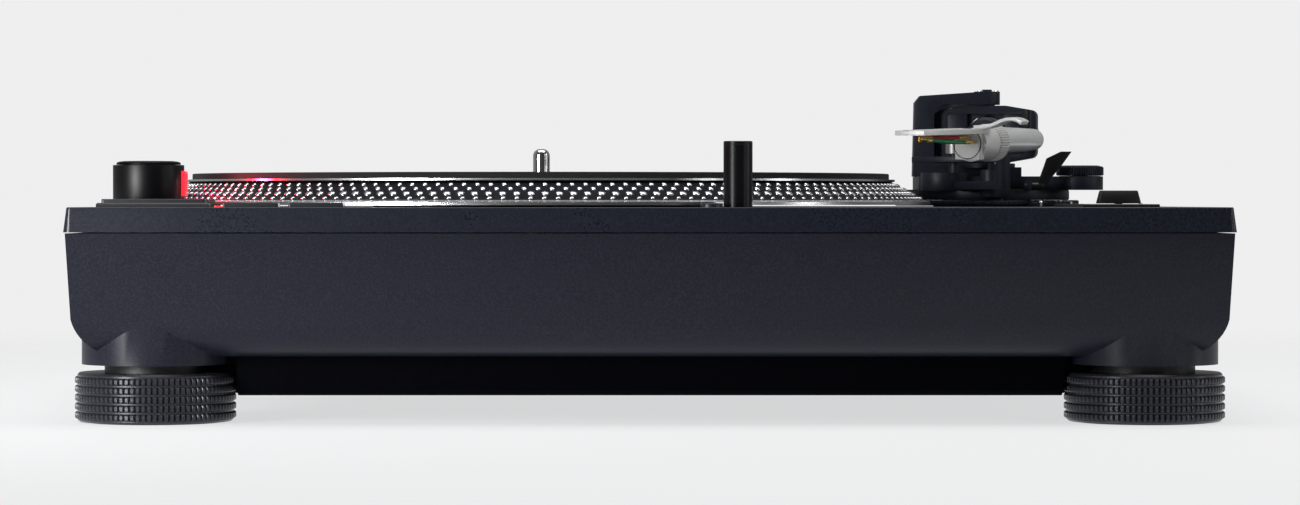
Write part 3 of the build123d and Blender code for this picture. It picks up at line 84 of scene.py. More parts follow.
class Bench:
    """Operators on one piece at a time, as they are used by hand. Sizes are in millimetres."""

    PER_LOBE = 3  # a turned piece's sides from one groove of its knurl to the next

    @staticmethod
    def clear() -> None:
        """Leaves edit mode and deselects everything."""
        if bpy.context.object and bpy.context.object.mode != "OBJECT":
            bpy.ops.object.mode_set(mode="OBJECT")
        bpy.ops.object.select_all(action="DESELECT")

    @staticmethod
    def take(*pieces: bpy.types.Object) -> None:
        """Selects these pieces alone.

        Args:
            pieces: the pieces, of which the first one becomes active.
        """
        Bench.clear()
        for piece in pieces:
            piece.select_set(True)
        bpy.context.view_layer.objects.active = pieces[0]

    @staticmethod
    def edit(piece: bpy.types.Object, mode: str = "VERT") -> None:
        """Opens a piece in edit mode with everything selected.

        Args:
            piece: the piece.
            mode: what is selected: VERT, EDGE or FACE.
        """
        Bench.take(piece)
        bpy.ops.object.mode_set(mode="EDIT")
        bpy.ops.mesh.select_mode(type=mode)
        bpy.ops.mesh.select_all(action="SELECT")

    @staticmethod
    def pick(piece: bpy.types.Object, wanted: Callable[[Vector], bool]) -> None:
        """In edit mode, selects the points at which wanted is true.

        Args:
            piece: the piece in edit mode.
            wanted: takes a point in millimetres.
        """
        mesh = bmesh.from_edit_mesh(piece.data)
        for point in mesh.verts:
            point.select_set(wanted(point.co / MM))
        mesh.select_flush_mode()
        bmesh.update_edit_mesh(piece.data)

    @staticmethod
    def scale(value: tuple[float, float, float]) -> None:
        """Scales what is selected about the origin."""
        bpy.ops.transform.resize(value=value, center_override=(0, 0, 0))

    @staticmethod
    def named(name: str) -> bpy.types.Object:
        """Names the active object and its mesh.

        Args:
            name: the name of both.

        Returns:
            The active object.
        """
        piece = bpy.context.object
        piece.name = name
        piece.data.name = name
        return piece

    @staticmethod
    def turned(name: str, profile: Profile, sides: int) -> bpy.types.Object:
        """Turns a profile about the upright axis, as on a lathe.

        Args:
            name: the piece's name.
            profile: (radius, height) points; a closed profile repeats its first point.
            sides: steps round the axis.

        Returns:
            The turned piece, at the origin.
        """
        Bench.clear()
        bpy.ops.mesh.primitive_plane_add(size=MM)
        piece = Bench.named(name)
        Bench.edit(piece)
        bpy.ops.mesh.merge(type="CENTER")
        radius, height = profile[0]
        bpy.ops.transform.translate(value=(radius * MM, 0, height * MM))
        for (r_from, z_from), (r_to, z_to) in zip(profile, profile[1:]):
            step = ((r_to - r_from) * MM, 0, (z_to - z_from) * MM)
            bpy.ops.mesh.extrude_vertices_move(TRANSFORM_OT_translate={"value": step})
        bpy.ops.mesh.select_all(action="SELECT")
        bpy.ops.mesh.spin(steps=sides, angle=TURN, center=(0, 0, 0), axis=(0, 0, 1))
        bpy.ops.mesh.select_all(action="SELECT")
        bpy.ops.mesh.remove_doubles(threshold=ONE_POINT * MM)
        bpy.ops.mesh.normals_make_consistent(inside=False)
        bpy.ops.object.mode_set(mode="OBJECT")
        return piece

    @staticmethod
    def knurl(piece: bpy.types.Object, count: int, outer: float, depth: float, per_lobe: int = PER_LOBE,
              low: float = -math.inf, high: float = math.inf) -> None:
        """Cuts upright grooves round a turned piece that has count * per_lobe sides.

        Args:
            piece: a turned piece at the origin.
            count: grooves round it.
            outer: only points further out than this radius move.
            depth: how deep the grooves are.
            per_lobe: sides from one groove to the next.
            low: only points above this height move.
            high: only points below this height move.
        """
        step = TURN / (count * per_lobe)

        def in_groove(point: Vector) -> bool:
            """Whether a point lies on a groove's line."""
            index = round(math.atan2(point.y, point.x) / step)
            return index % per_lobe == 0 and math.hypot(point.x, point.y) > outer and low < point.z < high

        Bench.edit(piece)
        Bench.pick(piece, in_groove)
        share = 1 - depth / outer
        Bench.scale((share, share, 1))
        bpy.ops.object.mode_set(mode="OBJECT")

    @staticmethod
    def block(name: str, low: Sequence[float], high: Sequence[float], edge: float = 0.3,
              segments: int = 2) -> bpy.types.Object:
        """Makes a block, with its edges bevelled in edit mode.

        Args:
            name: the piece's name.
            low: its lowest corner.
            high: its highest corner.
            edge: the bevel's width.
            segments: the bevel's steps.

        Returns:
            The block, in its place.
        """
        Bench.clear()
        centre = [(a + b) / 2 * MM for a, b in zip(low, high)]
        size = [(b - a) * MM for a, b in zip(low, high)]
        bpy.ops.mesh.primitive_cube_add(size=1, location=centre, scale=size)
        piece = Bench.named(name)
        bpy.ops.object.transform_apply(location=True, rotation=True, scale=True)
        Bench.edit(piece, "EDGE")
        bpy.ops.mesh.bevel(offset=edge * MM, segments=segments, affect="EDGES")
        bpy.ops.object.mode_set(mode="OBJECT")
        return piece

    @staticmethod
    def ring_copies(piece: bpy.types.Object, count: int) -> None:
        """Repeats a piece round the upright axis through the origin, all in one mesh.

        Args:
            piece: the first one, in its place.
            count: how many there are in the full turn.
        """
        Bench.clear()
        bpy.ops.object.empty_add(location=(0, 0, 0), rotation=(0, 0, TURN / count))
        pivot = bpy.context.object
        bpy.context.view_layer.update()
        Bench.take(piece)
        bpy.ops.object.modifier_add(type="ARRAY")
        array = piece.modifiers[-1]
        array.use_relative_offset = False
        array.use_object_offset = True
        array.offset_object = pivot
        array.count = count
        bpy.ops.object.modifier_apply(modifier=array.name)
        bpy.data.objects.remove(pivot)

    @staticmethod
    def lettering(name: str, words: str, size: float) -> bpy.types.Object:
        """Prints a number as a thin mesh that lies flat, with its middle at the origin.

        Args:
            name: the piece's name.
            words: what is printed.
            size: the letters' size.

        Returns:
            The print.
        """
        Bench.clear()
        bpy.ops.object.text_add(location=(0, 0, 0))
        text = bpy.context.object
        text.data.body = words
        text.data.size = size * MM
        text.data.align_x = "CENTER"
        text.data.align_y = "CENTER"
        text.data.extrude = PRINT_RISE / 2 * MM
        bpy.ops.object.convert(target="MESH")
        return Bench.named(name)

    @staticmethod
    def wire(name: str, points: Sequence[Sequence[float]], radius: float) -> bpy.types.Object:
        """Makes a smooth round wire.

        Args:
            name: the piece's name.
            points: five places that pull the wire to its course.
            radius: the wire's radius.

        Returns:
            The wire, as a mesh.
        """
        Bench.clear()
        bpy.ops.curve.primitive_nurbs_path_add()
        path = bpy.context.object
        for knot, place in zip(path.data.splines[0].points, points):
            knot.co = (*[c * MM for c in place], 1)
        path.data.bevel_depth = radius * MM
        path.data.bevel_resolution = 3
        path.data.use_fill_caps = True
        bpy.ops.object.convert(target="MESH")
        return Bench.named(name)

    @staticmethod
    def join(name: str, pieces: Sequence[bpy.types.Object]) -> bpy.types.Object:
        """Joins pieces into one mesh.

        Args:
            name: the joined piece's name.
            pieces: the pieces.

        Returns:
            The joined piece.
        """
        Bench.take(*pieces)
        bpy.ops.object.join()
        return Bench.named(name)

    @staticmethod
    def copy(piece: bpy.types.Object, name: str) -> bpy.types.Object:
        """Copies a piece, with a mesh of its own.

        Args:
            piece: the piece.
            name: the copy's name.

        Returns:
            The copy.
        """
        Bench.take(piece)
        bpy.ops.object.duplicate()
        return Bench.named(name)

    @staticmethod
    def place(piece: bpy.types.Object, matrix: Matrix) -> bpy.types.Object:
        """Moves a piece, and puts the move into its mesh.

        Args:
            piece: the piece.
            matrix: the move.

        Returns:
            The piece.
        """
        Bench.take(piece)
        piece.matrix_world = matrix @ piece.matrix_world
        bpy.ops.object.transform_apply(location=True, rotation=True, scale=True)
        return piece

    @staticmethod
    def smooth(piece: bpy.types.Object, angle: float = 30.0) -> bpy.types.Object:
        """Shades a piece smooth.

        Args:
            piece: the piece.
            angle: edges sharper than this, in degrees, stay crisp.

        Returns:
            The piece.
        """
        Bench.take(piece)
        bpy.ops.object.shade_smooth_by_angle(angle=math.radians(angle))
        return piece


def at(x: float, y: float, z: float = 0.0, turn: float = 0.0) -> Matrix:
    """A move to a place in millimetres, after a turn in degrees about the upright axis."""
    return Matrix.Translation(Vector((x, y, z)) * MM) @ Matrix.Rotation(math.radians(turn), 4, "Z")


def turned_by(degrees: float, axis: str) -> Matrix:
    """A turn about an axis through the origin."""
    return Matrix.Rotation(math.radians(degrees), 4, axis)


def box_of(node: str) -> tuple[Vector, Vector]:
    """The lowest and highest corners of a solid, in millimetres."""
    low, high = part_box(node)
    return low / MM, high / MM


def centre_of(node: str) -> Vector:
    """The middle of a solid's box, in millimetres."""
    low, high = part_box(node)
    return (low + high) / 2 / MM


def foot_of(node: str) -> float:
    """The height of a solid's lowest point, in millimetres."""
    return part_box(node)[0].z / MM


def top_of(node: str) -> float:
    """The height of a solid's top, in millimetres."""
    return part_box(node)[1].z / MM


def joint_place(name: str) -> Vector:
    """Where a hinge stands, in millimetres."""
    joint = next(j for j in frame["joints"] if j["name"] == name)
    return Vector(joint["pos_m"]) / MM


def ring_profile(bore: float, outer: float, low: float, high: float, chamfer: float = 0.0) -> Profile:
    """The closed profile of a ring whose two outer edges are chamfered alike.

    Args:
        bore: the inner radius.
        outer: the outer radius.
        low: the height of its foot.
        high: the height of its top.
        chamfer: the width of the chamfers, or 0 for sharp edges.

    Returns:
        The profile, for Bench.turned.
    """
    rim = [(outer, low), (outer, high)]
    if chamfer:
        inset = outer - chamfer
        rim = [(inset, low), (outer, low + chamfer), (outer, high - chamfer), (inset, high)]
    return [(bore, low), *rim, (bore, high), (bore, low)]


def printed_tick(start: float, end: float, y: float, half: float, top: float) -> bpy.types.Object:
    """Prints a line that runs along X.

    Args:
        start: its left end.
        end: its right end.
        y: the place of its middle.
        half: half its width.
        top: the height of the surface that it is printed on.

    Returns:
        The line.
    """
    return Bench.block("tick", (start, y - half, top - PRINT_SINK), (end, y + half, top + PRINT_RISE),
                       TICK_EDGE, 1)


def finish_piece(piece: bpy.types.Object, body: str, finish: "Finish", stands_for: Sequence[str] = ()) -> None:
    """Dresses a finished piece and ties it to its body.

    Args:
        piece: the piece, in its place.
        body: the body it rides on.
        finish: its finish.
        stands_for: solids that it replaces.
    """
    piece.data.materials.clear()
    piece.data.materials.append(material_of(finish))
    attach(piece, body)
    if stands_for:
        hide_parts(*stands_for)
    log.info("%s rides on %s with %d faces", piece.name, body, len(piece.data.polygons))


# Shared surface effects, each a node group that puts out values over the surface

class Grain(Enum):
    """The fine texture of a finish."""
    COAT = "sprayed satin coat"
    MOULDED = "moulded skin"
    BRUSHED = "lines along one way"
    TURNED = "rings round an upright axis"
    FELT = "short fibres"


class Effects:
    """Node groups that more than one finish uses, and the nodes that they are made of."""

    TEXTURE = (("Vector", "NodeSocketVector", 0), ("Scale", "NodeSocketFloat", 1500))
    VALUES = ("Value", "Height")
    EVEN = (0.3, 0.7)  # the noise values that are stretched to the full range
    FLECKS = (0.42, 0.66)  # the same for the coat's flecks
    MATTED = (0.35, 0.68)  # the same for the felt's fibres
    PEEL_SCALE = 0.35  # how much broader the orange peel is than the flecks
    STREAK = (0.02, 1, 1)  # how far a streak is drawn out along X

    @staticmethod
    def new_group(name: str, inputs: Sequence[tuple[str, str, float]],
                  outputs: Sequence[str]) -> tuple[bpy.types.NodeTree, bpy.types.Node, bpy.types.Node]:
        """Starts a node group.

        Args:
            name: the group's name.
            inputs: (name, socket type, default) of each input.
            outputs: names of the value outputs.

        Returns:
            The tree, its input node and its output node.
        """
        tree = bpy.data.node_groups.new(name, "ShaderNodeTree")
        for label, kind, value in inputs:
            socket = tree.interface.new_socket(label, in_out="INPUT", socket_type=kind)
            if kind == "NodeSocketFloat":
                socket.default_value = value
        for label in outputs:
            tree.interface.new_socket(label, in_out="OUTPUT", socket_type="NodeSocketFloat")
        return tree, tree.nodes.new("NodeGroupInput"), tree.nodes.new("NodeGroupOutput")

    @staticmethod
    def noise(tree: bpy.types.NodeTree, vector: bpy.types.NodeSocket, scale: bpy.types.NodeSocket,
              detail: float, rough: float = 0.55) -> bpy.types.NodeSocket:
        """Adds a noise texture.

        Args:
            tree: the nodes that it goes into.
            vector: the place on the surface.
            scale: its scale.
            detail: how many finer layers it has.
            rough: how strong the finer layers are.

        Returns:
            Its value.
        """
        node = tree.nodes.new("ShaderNodeTexNoise")
        node.inputs["Detail"].default_value = detail
        node.inputs["Roughness"].default_value = rough
        tree.links.new(vector, node.inputs["Vector"])
        tree.links.new(scale, node.inputs["Scale"])
        return node.outputs["Fac"]

    @staticmethod
    def curve(tree: bpy.types.NodeTree, value: bpy.types.NodeSocket, low: float, high: float,
              to_low: float = 0.0, to_high: float = 1.0, soft: bool = False) -> bpy.types.NodeSocket:
        """Stretches a value from one range to another, clamped.

        Args:
            tree: the nodes that it goes into.
            value: the value.
            low: the value that becomes to_low.
            high: the value that becomes to_high.
            to_low: the result at low.
            to_high: the result at high.
            soft: whether the result eases in and out.

        Returns:
            The result.
        """
        node = tree.nodes.new("ShaderNodeMapRange")
        node.interpolation_type = "SMOOTHSTEP" if soft else "LINEAR"
        node.inputs["From Min"].default_value = low
        node.inputs["From Max"].default_value = high
        node.inputs["To Min"].default_value = to_low
        node.inputs["To Max"].default_value = to_high
        tree.links.new(value, node.inputs["Value"])
        return node.outputs["Result"]

    @staticmethod
    def reckon(tree: bpy.types.NodeTree, operation: str, first: bpy.types.NodeSocket,
               second: bpy.types.NodeSocket | float, clamp: bool = False) -> bpy.types.NodeSocket:
        """Works out one value from two.

        Args:
            tree: the nodes that it goes into.
            operation: the Math node's operation.
            first: the first value.
            second: the second value, or a plain number.
            clamp: whether the result stays between 0 and 1.

        Returns:
            The result.
        """
        node = tree.nodes.new("ShaderNodeMath")
        node.operation = operation
        node.use_clamp = clamp
        tree.links.new(first, node.inputs[0])
        if isinstance(second, float):
            node.inputs[1].default_value = second
        else:
            tree.links.new(second, node.inputs[1])
        return node.outputs[0]

    @staticmethod
    def sum_of(tree: bpy.types.NodeTree, a: bpy.types.NodeSocket, b: bpy.types.NodeSocket,
               share: float) -> bpy.types.NodeSocket:
        """Adds a share of one value to another.

        Args:
            tree: the nodes that it goes into.
            a: the value.
            b: the value of which a share is added.
            share: the share.

        Returns:
            The sum.
        """
        node = tree.nodes.new("ShaderNodeMath")
        node.operation = "MULTIPLY_ADD"
        node.inputs[1].default_value = share
        tree.links.new(b, node.inputs[0])
        tree.links.new(a, node.inputs[2])
        return node.outputs[0]

    @staticmethod
    def speckle() -> bpy.types.NodeTree:
        """Makes fine flecks and a faint orange peel.

        Returns:
            The group, whose Value is the flecks and Height the peel.
        """
        tree, given, out = Effects.new_group("fine_speckle", Effects.TEXTURE, Effects.VALUES)
        fine = Effects.noise(tree, given.outputs["Vector"], given.outputs["Scale"], 2, 0.7)
        broad = Effects.reckon(tree, "MULTIPLY", given.outputs["Scale"], Effects.PEEL_SCALE)
        peel = Effects.noise(tree, given.outputs["Vector"], broad, 3)
        tree.links.new(Effects.curve(tree, fine, *Effects.FLECKS), out.inputs["Value"])
        tree.links.new(Effects.sum_of(tree, peel, fine, 0.5), out.inputs["Height"])
        return tree

    @staticmethod
    def streaks() -> bpy.types.NodeTree:
        """Makes long fine lines along X.

        Returns:
            The group, whose Value and Height are the lines.
        """
        tree, given, out = Effects.new_group("fine_streaks", Effects.TEXTURE, Effects.VALUES)
        squeeze = tree.nodes.new("ShaderNodeMapping")
        squeeze.inputs["Scale"].default_value = Effects.STREAK
        tree.links.new(given.outputs["Vector"], squeeze.inputs["Vector"])
        lines = Effects.noise(tree, squeeze.outputs["Vector"], given.outputs["Scale"], 4, 0.65)
        tree.links.new(Effects.curve(tree, lines, *Effects.EVEN), out.inputs["Value"])
        tree.links.new(lines, out.inputs["Height"])
        return tree

    @staticmethod
    def rings() -> bpy.types.NodeTree:
        """Makes fine rings round the upright axis.

        Returns:
            The group, whose Value and Height are the rings.
        """
        tree, given, out = Effects.new_group("turned_rings", Effects.TEXTURE, Effects.VALUES)
        split = tree.nodes.new("ShaderNodeSeparateXYZ")
        tree.links.new(given.outputs["Vector"], split.inputs[0])
        flat = tree.nodes.new("ShaderNodeCombineXYZ")
        tree.links.new(split.outputs["X"], flat.inputs["X"])
        tree.links.new(split.outputs["Y"], flat.inputs["Y"])
        radius = tree.nodes.new("ShaderNodeVectorMath")
        radius.operation = "LENGTH"
        tree.links.new(flat.outputs[0], radius.inputs[0])
        place = tree.nodes.new("ShaderNodeCombineXYZ")
        tree.links.new(radius.outputs["Value"], place.inputs["X"])
        tree.links.new(split.outputs["Z"], place.inputs["Z"])
        lines = Effects.noise(tree, place.outputs[0], given.outputs["Scale"], 3, 0.6)
        tree.links.new(Effects.curve(tree, lines, *Effects.EVEN), out.inputs["Value"])
        tree.links.new(lines, out.inputs["Height"])
        return tree

    @staticmethod
    def fibres() -> bpy.types.NodeTree:
        """Makes short matted fibres.

        Returns:
            The group, whose Value and Height are the fibres.
        """
        tree, given, out = Effects.new_group("short_fibres", Effects.TEXTURE, Effects.VALUES)
        tangle = Effects.noise(tree, given.outputs["Vector"], given.outputs["Scale"], 5, 0.8)
        tree.links.new(Effects.curve(tree, tangle, *Effects.MATTED), out.inputs["Value"])
        tree.links.new(tangle, out.inputs["Height"])
        return tree

    @staticmethod
    def handling() -> bpy.types.NodeTree:
        """Makes broad soft variation, as from handling and a trace of dust.

        Returns:
            The group, whose Cloud is the variation.
        """
        tree, given, out = Effects.new_group(
            "handling", [("Vector", "NodeSocketVector", 0), ("Scale", "NodeSocketFloat", 20)], ["Cloud"])
        cloud = Effects.noise(tree, given.outputs["Vector"], given.outputs["Scale"], 3, 0.6)
        tree.links.new(Effects.curve(tree, cloud, *Effects.EVEN), out.inputs["Cloud"])
        return tree

    @staticmethod
    def height_band() -> bpy.types.NodeTree:
        """Makes a mask between two heights, with soft limits.

        Returns:
            The group, whose Mask is 1 between its Low and High.
        """
        tree, given, out = Effects.new_group(
            "height_band", [("Vector", "NodeSocketVector", 0), ("Low", "NodeSocketFloat", 0),
                            ("High", "NodeSocketFloat", 1), ("Soft", "NodeSocketFloat", 0.0002)], ["Mask"])
        split = tree.nodes.new("ShaderNodeSeparateXYZ")
        tree.links.new(given.outputs["Vector"], split.inputs[0])
        height, soft = split.outputs["Z"], given.outputs["Soft"]
        limits = []
        for above, below in ((height, given.outputs["Low"]), (given.outputs["High"], height)):
            inside = Effects.reckon(tree, "SUBTRACT", above, below)
            limits.append(Effects.reckon(tree, "DIVIDE", inside, soft, clamp=True))
        tree.links.new(Effects.reckon(tree, "MULTIPLY", *limits), out.inputs["Mask"])
        return tree


class Effect(Enum):
    """The shared groups by name; the value is the function that builds one."""
    SPECKLE = "speckle"
    STREAKS = "streaks"
    RINGS = "rings"
    FIBRES = "fibres"
    HANDLING = "handling"
    HEIGHT_BAND = "height_band"

    def tree(self) -> bpy.types.NodeTree:
        """Builds the group at its first use.

        Returns:
            Its node tree.
        """
        if self not in _built:
            _built[self] = getattr(Effects, self.value)()
        return _built[self]


_built: dict[Effect, bpy.types.NodeTree] = {}
GRAIN_EFFECT = {Grain.COAT: Effect.SPECKLE, Grain.MOULDED: Effect.SPECKLE, Grain.BRUSHED: Effect.STREAKS,
                Grain.TURNED: Effect.RINGS, Grain.FELT: Effect.FIBRES}


# Finishes

@dataclass(frozen=True)
class Finish:
    """A surface finish: colour, gloss and the grain that the real one shows.

    The grain's depth and centre are in millimetres.
    """
    BUMP: ClassVar[float] = 0.8
    COAT_ROUGH: ClassVar[float] = 0.06
    GRAIN_SHARE: ClassVar[float] = 0.6  # the grain's part in the play of the gloss
    GLOW_PLAY: ClassVar[float] = 0.3

    name: str
    slot: str
    colour: Colour
    rough: float
    metallic: float = 0.0
    coat: float = 0.0
    grain: Grain = Grain.COAT
    scale: float = 1500.0
    depth: float = 0.01
    shade: float = 0.12
    rough_play: float = 0.05
    cloud_scale: float = 14.0
    centre: tuple[float, float] = (0.0, 0.0)
    glow: float = 0.0
    sheen: float = 0.5

    def group(self, tree: bpy.types.NodeTree, effect: Effect, vector: bpy.types.NodeSocket,
              **values: float) -> bpy.types.Node:
        """Places a shared group in this material.

        Args:
            tree: the material's nodes.
            effect: the group.
            vector: the place on the surface.
            values: the values of its other inputs, by name.

        Returns:
            The group's node.
        """
        node = tree.nodes.new("ShaderNodeGroup")
        node.node_tree = effect.tree()
        tree.links.new(vector, node.inputs["Vector"])
        for label, value in values.items():
            node.inputs[label].default_value = value
        return node

    def mix(self, tree: bpy.types.NodeTree, factor: bpy.types.NodeSocket, low: Colour,
            high: Colour) -> bpy.types.NodeSocket:
        """Mixes two colours over the surface.

        Args:
            tree: the material's nodes.
            factor: the share of the second colour.
            low: the colour at 0.
            high: the colour at 1.

        Returns:
            The mixed colour.
        """
        node = tree.nodes.new("ShaderNodeMix")
        node.data_type = "RGBA"
        tree.links.new(factor, node.inputs["Factor"])
        for socket in node.inputs:
            if socket.type == "RGBA":
                socket.default_value = (*(low if socket.name == "A" else high), 1)
        return next(s for s in node.outputs if s.type == "RGBA")

    def shaded(self, by: float) -> Colour:
        """The colour, lighter or darker by a share."""
        return tuple(min(1.0, c * (1 + by)) for c in self.colour)

    def build(self) -> bpy.types.Material:
        """Makes the material.

        Returns:
            The material, with its nodes linked.
        """
        material = bpy.data.materials.new(self.name)
        material.use_nodes = True
        tree = material.node_tree
        shader = tree.nodes["Principled BSDF"]
        place = tree.nodes.new("ShaderNodeTexCoord").outputs["Object"]
        mapping = tree.nodes.new("ShaderNodeMapping")
        mapping.vector_type = "TEXTURE"
        mapping.inputs["Location"].default_value = (self.centre[0] * MM, self.centre[1] * MM, 0)
        tree.links.new(place, mapping.inputs["Vector"])
        vector = mapping.outputs["Vector"]
        grain = self.group(tree, GRAIN_EFFECT[self.grain], vector, Scale=self.scale)
        cloud = self.group(tree, Effect.HANDLING, vector, Scale=self.cloud_scale)
        self.dress(tree, shader, vector, grain, cloud)
        bump = tree.nodes.new("ShaderNodeBump")
        bump.inputs["Distance"].default_value = self.depth * MM
        bump.inputs["Strength"].default_value = self.BUMP
        tree.links.new(grain.outputs["Height"], bump.inputs["Height"])
        tree.links.new(bump.outputs["Normal"], shader.inputs["Normal"])
        shader.inputs["Metallic"].default_value = self.metallic
        shader.inputs["Coat Weight"].default_value = self.coat
        shader.inputs["Coat Roughness"].default_value = self.COAT_ROUGH
        if self.glow:
            tree.links.new(self.mix(tree, cloud.outputs["Cloud"], self.colour, self.shaded(self.GLOW_PLAY)),
                           shader.inputs["Emission Color"])
            shader.inputs["Emission Strength"].default_value = self.glow
        shader.inputs["Specular IOR Level"].default_value = self.sheen
        return material

    def dress(self, tree: bpy.types.NodeTree, shader: bpy.types.Node, vector: bpy.types.NodeSocket,
              grain: bpy.types.Node, cloud: bpy.types.Node) -> None:
        """Feeds colour and roughness from the grain and the broad variation.

        Args:
            tree: the material's nodes.
            shader: its shader.
            vector: the place on the surface; not used.
            grain: the fine texture's group.
            cloud: the broad variation's group.
        """
        colour = self.mix(tree, grain.outputs["Value"], self.shaded(-self.shade), self.shaded(self.shade))
        tree.links.new(colour, shader.inputs["Base Color"])
        blend = Effects.sum_of(tree, cloud.outputs["Cloud"], grain.outputs["Value"], self.GRAIN_SHARE)
        rough = Effects.curve(tree, blend, 0.0, 1.0 + self.GRAIN_SHARE, self.rough - self.rough_play,
                              self.rough + self.rough_play)
        tree.links.new(rough, shader.inputs["Roughness"])


@dataclass(frozen=True)
class PlatterMetal(Finish):
    """Turned metal with polished rims, and a dark coat between two heights for the dots."""
    band_low: float = 87.0
    band_high: float = 94.7
    band_colour: Colour = (0.008, 0.0088, 0.013)
    band_rough: float = 0.5
    band_soft: float = 0.1

    def dress(self, tree: bpy.types.NodeTree, shader: bpy.types.Node, vector: bpy.types.NodeSocket,
              grain: bpy.types.Node, cloud: bpy.types.Node) -> None:
        """Feeds colour and roughness, masked by height.

        Args:
            tree: the material's nodes.
            shader: its shader.
            vector: the place on the surface.
            grain: the fine texture's group.
            cloud: the broad variation's group; not used.
        """
        mask = self.group(tree, Effect.HEIGHT_BAND, vector, Low=self.band_low * MM, High=self.band_high * MM,
                          Soft=self.band_soft * MM).outputs["Mask"]
        metal = self.mix(tree, grain.outputs["Value"], self.shaded(-self.shade), self.shaded(self.shade))
        both = tree.nodes.new("ShaderNodeMix")
        both.data_type = "RGBA"
        tree.links.new(mask, both.inputs["Factor"])
        inlets = [s for s in both.inputs if s.type == "RGBA"]
        tree.links.new(metal, inlets[0])
        inlets[1].default_value = (*self.band_colour, 1)
        tree.links.new(next(s for s in both.outputs if s.type == "RGBA"), shader.inputs["Base Color"])
        rough = Effects.curve(tree, mask, 0.0, 1.0, self.rough, self.band_rough)
        tree.links.new(Effects.sum_of(tree, rough, grain.outputs["Value"], self.rough_play),
                       shader.inputs["Roughness"])


CASE_COAT = Finish("case_satin", "cabinet_coat", (0.0122, 0.0138, 0.0238), 0.36, scale=1300, depth=0.01,
                   shade=0.3, sheen=0.22)
DECK_COAT = Finish("deck_satin", "deck_coat", (0.0145, 0.0175, 0.028), 0.3, scale=1100, depth=0.008,
                   shade=0.3, sheen=0.34)
PAN_RUBBER = Finish("pan_rubber", "base_rubber", (0.0012, 0.0013, 0.0026), 0.7, grain=Grain.MOULDED,
                    scale=1200, depth=0.03, shade=0.25, sheen=0.02)
SOLE_RUBBER = Finish("sole_rubber", "base_rubber", (0.006, 0.006, 0.0065), 0.8, grain=Grain.MOULDED,
                     scale=1600, depth=0.03, shade=0.3)
SCREW_OXIDE = Finish("black_oxide", "screw_steel", (0.05, 0.05, 0.055), 0.34, metallic=1.0,
                     grain=Grain.TURNED, scale=3000, depth=0.004)
TRIM_BLACK = Finish("trim_moulding", "trim_black", (0.009, 0.0095, 0.012), 0.42, grain=Grain.MOULDED,
                    scale=2600, depth=0.01, shade=0.3)
FADER_PLASTIC = Finish("fader_body", "fader_plastic", (0.02, 0.02, 0.022), 0.5, grain=Grain.MOULDED)
TERMINAL_PLASTIC = Finish("terminal_moulding", "terminal_plastic", (0.012, 0.012, 0.013), 0.45,
                          grain=Grain.MOULDED, scale=2200, depth=0.015, shade=0.25)
BOARD_GREEN = Finish("solder_mask", "circuit_board", (0.01, 0.07, 0.03), 0.3, coat=0.4,
                     grain=Grain.MOULDED, scale=900, depth=0.01, shade=0.3)
COPPER_WIRE = Finish("enamelled_copper", "copper", (0.55, 0.2, 0.08), 0.3, metallic=1.0, coat=0.5,
                     grain=Grain.BRUSHED, scale=4000, depth=0.02, shade=0.25)
BEARING_BRASS = Finish("turned_brass", "bearing_brass", (0.6, 0.42, 0.17), 0.25, metallic=1.0,
                       grain=Grain.TURNED, scale=4000, depth=0.006)
TOWER_COAT = Finish("tower_satin", "tower_coat", (0.0018, 0.0018, 0.0026), 0.4, scale=2600, depth=0.003,
                    shade=0.3, sheen=0.25)
STROBE_RED = Finish("strobe_window", "strobe_red", (0.9, 0.02, 0.035), 0.2, glow=1.5, grain=Grain.MOULDED,
                    scale=700, depth=0.01)
LAMP_RED = Finish("red_lamp", "strobe_red", (0.9, 0.015, 0.02), 0.25, glow=1.4, grain=Grain.MOULDED)
LAMP_GREEN = Finish("green_lamp", "strobe_red", (0.05, 0.5, 0.08), 0.25, glow=0.3, grain=Grain.MOULDED)
MAT_RUBBER = Finish("mat_felt", "mat_rubber", (0.0085, 0.0085, 0.009), 0.9, grain=Grain.FELT, scale=1500,
                    depth=0.35, shade=0.55, rough_play=0.08)
SPINDLE_STEEL = Finish("polished_steel", "spindle_steel", (0.72, 0.72, 0.73), 0.12, metallic=1.0,
                       grain=Grain.TURNED, scale=900, depth=0.0004, shade=0.03, rough_play=0.02)
DOT_METAL = Finish("polished_dots", "platter_metal", (0.9, 0.9, 0.92), 0.18, metallic=1.0,
                   grain=Grain.TURNED, scale=900, depth=0.0004, shade=0.03, rough_play=0.02)
ADAPTOR_METAL = Finish("turned_adaptor", "platter_metal", (0.62, 0.62, 0.64), 0.22, metallic=1.0,
                       grain=Grain.TURNED, scale=3500, depth=0.008, shade=0.08)
MAGNET = Finish("sintered_magnet", "magnet_ferrite", (0.05, 0.05, 0.05), 0.7, grain=Grain.MOULDED,
                scale=1800, depth=0.04, shade=0.3)
BUTTON_COAT = Finish("button_satin", "button_metal", (0.02, 0.0215, 0.028), 0.34, scale=2600, depth=0.008,
                     shade=0.3)
KNOB_PLASTIC = Finish("knob_satin", "knob_plastic", (0.0045, 0.0045, 0.006), 0.38, grain=Grain.MOULDED,
                      scale=2600, depth=0.008, shade=0.3)
KNOB_GLOSS = Finish("knob_gloss", "knob_gloss", (0.012, 0.012, 0.014), 0.16, coat=0.5,
                    grain=Grain.MOULDED, scale=1800, depth=0.003)
LIGHT_GLOSS = Finish("column_lacquer", "light_gloss", (0.001, 0.0012, 0.0026), 0.3, scale=1500, depth=0.001,
                     sheen=0.25)
